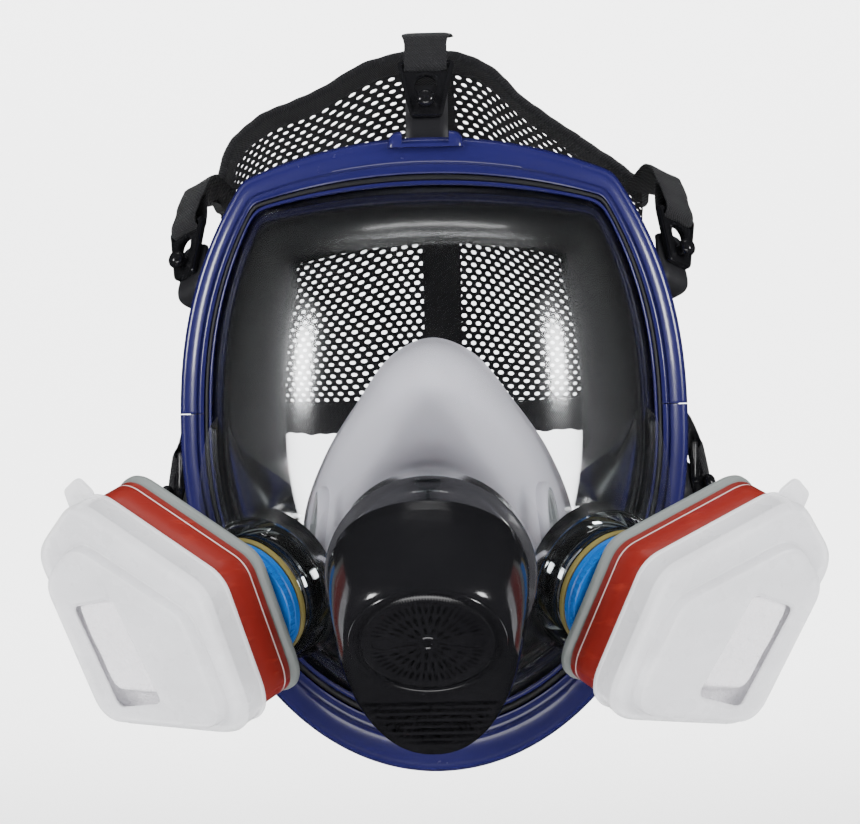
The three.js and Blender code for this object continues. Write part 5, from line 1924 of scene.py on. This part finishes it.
def net_point(u: np.ndarray, v: np.ndarray) -> np.ndarray:
    """Points of the net: `u` runs from left to right, `v` from its crown edge down to its nape edge."""
    u, v = np.clip(np.asarray(u, float), 0, 1), np.clip(np.asarray(v, float), 0, 1)
    top, bottom = catmull(CROWN, u), catmull(NAPE, u)
    hang = np.sin(math.pi * v)
    arch = hang * (0.35 + 0.65 * np.sin(math.pi * u)) * 0.62
    fold = 4 * np.exp(-(((u - 0.7) / 0.05) ** 2)) * hang
    belly = np.column_stack([top[:, 0] * 0.1, np.full(len(u), 66.0), np.full(len(u), 12.0)])
    point = top + (bottom - top) * v[:, None] + belly * arch[:, None]
    point[:, 1] += fold
    return point


@dataclass
class NetHalf:
    """One half of the net: a knitted sheet of small rounded holes."""

    name: str
    node: str
    across: Pair
    down: Pair = (0.050, 0.915)
    pitch: float = 5.0
    row: float = 2.5
    open_share: float = 0.60
    thickness: float = 0.62

    def build(self) -> Piece:
        """Builds the knitted half."""
        u, v = np.meshgrid(np.linspace(*self.across, 40), np.linspace(*self.down, 40), indexing="ij")
        grid = net_point(u.ravel(), v.ravel()).reshape(40, 40, 3)
        width = float(np.linalg.norm(np.diff(grid, axis=0), axis=2).sum(axis=0).mean())
        length = float(np.linalg.norm(np.diff(grid, axis=1), axis=2).sum(axis=1).mean())
        piece = self._knit(width, length)
        points = np.array([vertex.co for vertex in piece.data.vertices], float)
        s = np.clip(points[:, 0] / width, 0, 1)
        t = np.clip(points[:, 1] / length, 0, 1)
        uv = np.column_stack([s * width, t * length])
        u = self.across[0] + (self.across[1] - self.across[0]) * s
        v = self.down[0] + (self.down[1] - self.down[0]) * t
        placed = net_point(u, v) * MM
        piece.data.vertices.foreach_set("co", placed.astype(np.float32).ravel())
        layer = piece.data.uv_layers.new(name="UVMap")
        loops = np.zeros(len(piece.data.loops), int)
        piece.data.loops.foreach_get("vertex_index", loops)
        layer.data.foreach_set("uv", uv[loops].astype(np.float32).ravel())
        bm = bmesh.new()
        bm.from_mesh(piece.data)
        bmesh.ops.dissolve_degenerate(bm, edges=bm.edges, dist=2e-5)
        bmesh.ops.recalc_face_normals(bm, faces=bm.faces)
        flat = sum(face.calc_area() for face in bm.faces)
        bm.to_mesh(piece.data)
        bm.free()
        solid = piece.modifiers.new("thread", "SOLIDIFY")
        solid.thickness = self.thickness * MM
        solid.offset = 0.0
        Maker.bake(piece)
        Maker.dress(piece, Finishes.MESH, "mask", (self.node,), 50.0)
        self.size = (width * MM, length * MM)
        self.area = flat
        return piece

    def declare(self, piece: Piece) -> None:
        """Logs the sheet's flat size and its area of thread."""
        w, l = self.size
        area = min(self.area, w * l)
        log.info("%s: %.1f x %.1f mm flat, %.0f mm2 of thread", piece.name, w / MM, l / MM, area / MM**2)

    def _knit(self, width: float, length: float) -> Piece:
        """The flat sheet of holes, made with Geometry Nodes."""
        columns, rows = int(width / self.pitch) + 3, int(length / self.row) + 3
        made = Nodes(
            self.name,
            {"Columns": columns, "Rows": rows, "Pitch": self.pitch, "Row": self.row, "Open": self.open_share},
        )
        reach_x = made.math("MULTIPLY", made.math("SUBTRACT", made.given("Columns"), 1.0), made.given("Pitch"))
        reach_y = made.math("MULTIPLY", made.math("SUBTRACT", made.given("Rows"), 1.0), made.given("Row"))
        grid = made.add(
            "GeometryNodeMeshGrid",
            {
                "Size X": reach_x,
                "Size Y": reach_y,
                "Vertices X": made.given("Columns"),
                "Vertices Y": made.given("Rows"),
            },
        )
        split = made.split()
        corner_x = made.math("MULTIPLY", reach_x, 0.5)
        corner_y = made.math("MULTIPLY", reach_y, 0.5)
        from_y = made.math("ADD", split.outputs[1], corner_y)
        number = made.math("ROUND", made.math("DIVIDE", from_y, made.given("Row")))
        odd = made.math("MODULO", number, 2.0)
        step = made.math("MULTIPLY", odd, made.math("MULTIPLY", made.given("Pitch"), 0.5))
        x = made.math("ADD", made.math("ADD", split.outputs[0], corner_x), step)
        place = made.xyz(x, from_y)
        staggered = made.add("GeometryNodeSetPosition", {"Geometry": grid.outputs[0], "Position": place})
        cell = made.add("GeometryNodeMeshCircle", {"Vertices": 6, "Radius": 1.0}, {"fill_type": "NGON"})
        upright = made.add(
            "GeometryNodeTransform", {"Geometry": cell.outputs[0], "Rotation": (0.0, 0.0, math.pi / 2)}
        )
        wide = made.math("MULTIPLY", made.given("Pitch"), 1 / math.sqrt(3))
        stretch = made.xyz(wide, made.math("MULTIPLY", made.given("Row"), 2 / 3), 1.0)
        tile = made.add("GeometryNodeTransform", {"Geometry": upright.outputs[0], "Scale": stretch})
        raised = made.add(
            "GeometryNodeExtrudeMesh", {"Mesh": tile.outputs[0], "Offset Scale": 0.0}, {"mode": "FACES"}
        )
        inset = made.add(
            "GeometryNodeScaleElements",
            {
                "Geometry": raised.outputs[0],
                "Selection": raised.outputs[1],
                "Scale": made.given("Open"),
            },
            {"domain": "FACE"},
        )
        ring = made.add(
            "GeometryNodeDeleteGeometry",
            {
                "Geometry": inset.outputs[0],
                "Selection": raised.outputs[1],
            },
            {"domain": "FACE"},
        )
        tiles = made.add(
            "GeometryNodeInstanceOnPoints", {"Points": staggered.outputs[0], "Instance": ring.outputs[0]}
        )
        real = made.add("GeometryNodeRealizeInstances", {"Geometry": tiles.outputs[0]})
        joined = made.add("GeometryNodeMergeByDistance", {"Geometry": real.outputs[0], "Distance": 0.01})
        smooth = made.add("GeometryNodeSubdivisionSurface", {"Mesh": joined.outputs[0], "Level": 1})
        return made.result(self.name, smooth.outputs[0], Finishes.MESH)


@dataclass
class Harness:
    """The head net with its bindings, and the five straps, buckles and studs."""

    strap_width: float = 17.0
    strap_thickness: float = 1.25
    blend_length: float = 0.022

    def build(self) -> None:
        """Builds the net, then each strap with what it hangs from."""
        left = NetHalf("left_net", "net_left", (0.008, 0.462))
        right = NetHalf("right_net", "net_right", (0.538, 0.992))
        left_piece, right_piece = left.build(), right.build()
        crown = self._binding("crown_binding", "net_crown_binding", 0.029, 11.0, 3.6, Finishes.WEBBING)
        nape = self._binding("nape_binding", "net_nape_binding", 0.955, 13.0, 2.2, Finishes.WEBBING)
        band = self._band()
        left.declare(left_piece)
        right.declare(right_piece)
        for anchor in ANCHORS:
            self._stud(anchor)
            self._buckle(anchor)
            self._strap(anchor)

    def _binding(
        self, name: str, node: str, v: float, width: float, thickness: float, finish: object
    ) -> Piece:
        """One of the net's bound edges: a soft tape folded over it."""
        u = np.linspace(0, 1, 160)
        path = net_point(u, np.full(160, v))
        down = net_point(u, np.full(160, v + 0.02)) - net_point(u, np.full(160, v - 0.02))
        wave = 1 + 0.05 * np.sin(u * 71) + 0.04 * np.sin(u * 163 + 1)
        piece = Maker.raw(name, *Maker.mapped(ribbon(path, down, width * wave, thickness, 13), path, width, 13))
        Maker.dress(piece, finish, "mask", (node,), 60.0)
        return piece

    def _band(self) -> Piece:
        """The woven band down the middle of the net."""
        v = np.linspace(0.055, 0.912, 90)
        path = net_point(np.full(90, 0.5), v)
        across = net_point(np.full(90, 0.54), v) - net_point(np.full(90, 0.46), v)
        piece = Maker.raw("centre_band", *Maker.mapped(ribbon(path, across, 15.5, 1.8, 11), path, 15.5, 11))
        return Maker.dress(piece, Finishes.WEBBING, "mask", ("net_centre_band",), 60.0)

    def _stud(self, anchor: Anchor) -> None:
        """The ball stud that a buckle buttons over."""
        profile = [
            (0, -6.6), (3.1, -6.6), (3.4, -6.3), (3.4, -5.9), (3.1, -5.7), (1.8, -5.7), (1.8, 2.2),
            (2.3, 2.7),
            (2.9, 3.3), (3.25, 4.1), (3.25, 4.9), (2.95, 5.7), (2.4, 6.3), (1.6, 6.75), (0.8, 6.9), (0, 6.95),
        ]
        piece = Maker.raw(f"{anchor.label}_ball", moved(turned(profile, 48), anchor.place))
        Maker.dress(piece, Finishes.BLACK_GLOSS, "mask", (f"{anchor.label}_stud",), 40.0)

    def _buckle(self, anchor: Anchor) -> None:
        """The keyhole buckle, with a raised rim and a bar for the strap."""
        plate = Rounded(((-5.6, -5.6), (5.6, -5.6), (10.4, 15.6), (-10.4, 15.6)), 2.2)
        place = anchor.place
        profile = ((-0.5, -1.1), (-0.1, -0.95), (0.0, -0.6), (0.0, 0.6), (-0.1, 0.95), (-0.5, 1.1))
        piece = Maker.raw(f"{anchor.label}_clasp", moved(plate.body(profile), place))
        rim = plate.body(((-0.3, 0.6), (-0.3, 1.35), (-0.6, 1.65), (-1.2, 1.65), (-1.5, 1.35), (-1.5, 0.6)), True)
        hole_a = turned([(0, -3), (2.2, -3), (2.2, 3), (0, 3)], 40)
        hole_b = turned([(0, -3), (3.9, -3), (3.9, 3), (0, 3)], 56)
        bead = turned([(4.1, 0.6), (4.1, 1.4), (4.4, 1.7), (5.0, 1.7), (5.3, 1.4), (5.3, 0.6)], 56)
        Maker.join(piece, moved(rim, place), moved(bead, place @ shifted(0, 6, 0)))
        Maker.cut(
            piece,
            moved(hole_a, place),
            moved(block((3.4, 5, 6), (0, 3.4, 0)), place),
            moved(hole_b, place @ shifted(0, 6, 0)),
            moved(block((15.6, 2.4, 6), (0, 12.4, 0)), place),
        )
        Maker.bevel(piece, 0.2, 2, 55.0)
        Maker.dress(piece, Finishes.BLACK_GLOSS, f"{anchor.label}_buckle", (f"{anchor.label}_buckle",), 34.0)

    def _strap(self, anchor: Anchor) -> None:
        """One strap: through its buckle's slot, round the bar and away to the net."""
        ends = {
            "top": ((0, 36, 149.2), (0, -14, 143.5), (1, 0, 0)),
            "left_temple": ((-77.5, 5, 86), (-84.5, -5, 92), (0.63, -0.67, 0.27)),
            "right_temple": ((77.5, 5, 86), (84.5, -5, 92), (0.63, 0.67, -0.27)),
            "left_cheek": ((-73.4, 64, 1), (-95, 26, -3), (0, 0, 1)),
            "right_cheek": ((73.4, 64, 1), (93, 26, -3), (0, 0, 1)),
        }
        to, via, turn = (np.array(v, float) for v in ends[anchor.label])
        place = anchor.place
        local = [
            (0, 26.0, -1.9), (0, 20.0, -2.5), (0, 15.5, -2.5), (0, 12.9, -2.0), (0, 12.1, -0.4),
            (0, 12.3, 1.4),
            (0, 14.0, 2.4), (0, 16.6, 2.4), (0, 20.0, 1.4), (0, 24.0, 0.4),
        ]
        near = [(place @ [*p, 1.0])[:3] for p in local]
        lead = catmull(near, np.linspace(0, 1, 80))
        away = catmull([near[-2], near[-1], via, to], np.linspace(1 / 3, 1, 70))
        path = np.vstack([lead, away[1:]])
        side = place[:3, 0]
        if turn @ side < 0:
            turn = -turn
        share = np.r_[np.zeros(len(lead)), np.linspace(0, 1, len(away))[1:]]
        share = (share * share * (3 - 2 * share))[:, None]
        across = side[None, :] * (1 - share) + unit(turn)[None, :] * share
        width = np.where(np.arange(len(path)) < 80, 15.0, self.strap_width)
        padded = np.r_[np.full(5, 15.0), width, np.full(5, self.strap_width)]
        width = np.convolve(padded, np.ones(11) / 11, "valid")
        shape = ribbon(path, across, width, self.strap_thickness, 11)
        piece = Maker.raw(f"{anchor.label}_webbing", *Maker.mapped(shape, path, self.strap_width, 11))
        Maker.dress(piece, Finishes.WEBBING, "mask", (f"{anchor.label}_strap",), 60.0)
        piece.parent = None  # the piece is taken off its body and left without a parent
        low = (place @ [0, 17, 0, 1])[:3] * MM
        high = low + place[:3, 1] * self.blend_length
        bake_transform(piece)


# ---- Room ------------------------------------------------------------------------------------------------


@dataclass
class Studio:
    """A pale floor and backdrop, soft lights and the camera."""

    distance: float = 1.0
    azimuth: float = math.radians(1.8)
    roll: float = math.radians(1.27)
    aim: float = -0.050
    height: float = 0.0063
    drift: float = -0.00088
    lens: float = 119.3

    def build(self) -> None:
        """Builds the room."""
        self._camera()
        self._floor()
        self._lights()

    def _camera(self) -> None:
        """A camera level with the mask, a little to its right and slightly rolled."""
        data = bpy.data.cameras.new("camera")
        data.lens = self.lens
        data.sensor_width = 36.0
        camera = bpy.data.objects.new("camera", data)
        a = self.azimuth
        flat = Vector((math.cos(a), math.sin(a), 0))
        up = Vector((0, 0, 1))
        right = flat * math.cos(self.roll) - up * math.sin(self.roll)
        top = up * math.cos(self.roll) + flat * math.sin(self.roll)
        back = right.cross(top)
        spot = Vector((self.distance * math.sin(a), self.aim - self.distance * math.cos(a), self.height))
        matrix = Matrix((right, top, back)).transposed().to_4x4()
        matrix.translation = spot + right * self.drift
        camera.matrix_world = matrix
        bpy.context.scene.collection.objects.link(camera)
        bpy.context.scene.camera = camera

    def _floor(self) -> None:
        """A floor that curves up behind into a wall."""
        profile = [(-3.0, -0.19), (0.9, -0.19)]
        turns = np.linspace(0, math.pi / 2, 24)[1:]
        profile += [(0.9 + 0.7 * math.sin(t), 0.51 - 0.7 * math.cos(t)) for t in turns]
        profile += [(1.6, 3.2)]
        points, faces = [], []
        for y, z in profile:
            points += [(-4.0, y, z), (4.0, y, z)]
        for i in range(len(profile) - 1):
            faces.append((2 * i, 2 * i + 1, 2 * i + 3, 2 * i + 2))
        mesh = bpy.data.meshes.new("floor")
        mesh.from_pydata(points, [], faces)
        mesh.polygons.foreach_set("use_smooth", np.ones(len(mesh.polygons), bool))
        p = Paint("pale_floor")
        tone = p.noise(3.0, 2.0)
        pale = p.blend(tone, (0.93, 0.93, 0.93), (0.95, 0.95, 0.95))
        mesh.materials.append(p.finish(p.principled(Base_Color=pale, Roughness=0.8)))
        floor = bpy.data.objects.new("floor", mesh)
        bpy.context.scene.collection.objects.link(floor)
        floor.visible_glossy = False

    def _lights(self) -> None:
        """Two boxes and a strip that show in the visor, a low one for the outlet, and fills that don't show."""
        world = bpy.data.worlds.new("surround")
        world.use_nodes = True
        world.node_tree.nodes["Background"].inputs[0].default_value = (0.92, 0.93, 0.95, 1.0)
        world.node_tree.nodes["Background"].inputs[1].default_value = 0.16
        bpy.context.scene.world = world
        world.cycles_visibility.glossy = False
        for name, at, size, power, shows in (
            ("left_box", (-1.34, -0.72, 0.24), (0.26, 0.30), 7.5, True),
            ("right_box", (1.34, -0.72, 0.24), (0.26, 0.30), 7.5, True),
            ("low_box", (0.0, -0.46, -0.165), (0.5, 0.10), 0.8, True),
            ("left_fill", (-1.1, -1.1, 0.5), (1.0, 1.0), 24.0, False),
            ("right_fill", (1.1, -1.1, 0.5), (1.0, 1.0), 24.0, False),
            ("overhead", (0.0, -0.35, 1.4), (1.2, 0.7), 12.0, False),
            ("rim", (0.0, -0.05, 1.4), (0.7, 0.06), 1.6, True),
            ("behind", (0.0, 0.6, 1.1), (3.0, 0.8), 105.0, False),
        ):
            data = bpy.data.lights.new(name, "AREA")
            data.shape = "RECTANGLE"
            data.size, data.size_y = size
            data.energy = power
            light = bpy.data.objects.new(name, data)
            light.location = at
            light.visible_glossy = shows
            aim = Vector((0, 1.6, 0.3)) if name == "behind" else Vector((0, -0.05, 0))
            light.rotation_mode = "QUATERNION"
            light.rotation_quaternion = (aim - Vector(at)).to_track_quat("-Z", "Y")
            bpy.context.scene.collection.objects.link(light)


# ---- The whole -------------------------------------------------------------------------------------------


def main() -> None:
    """Builds every sub-assembly in order."""
    logging.basicConfig(level=logging.INFO, format="%(message)s")
    parts: list[object] = [Studio(), Frame(), Visor(), FaceSeal(), NoseCup(), Outlet()]
    parts += [FilterPort(side) for side in Side]
    parts += [Cartridge(side) for side in Side]
    parts.append(Harness())
    for part in parts:
        part.build()


if __name__ == "__main__":
    main()
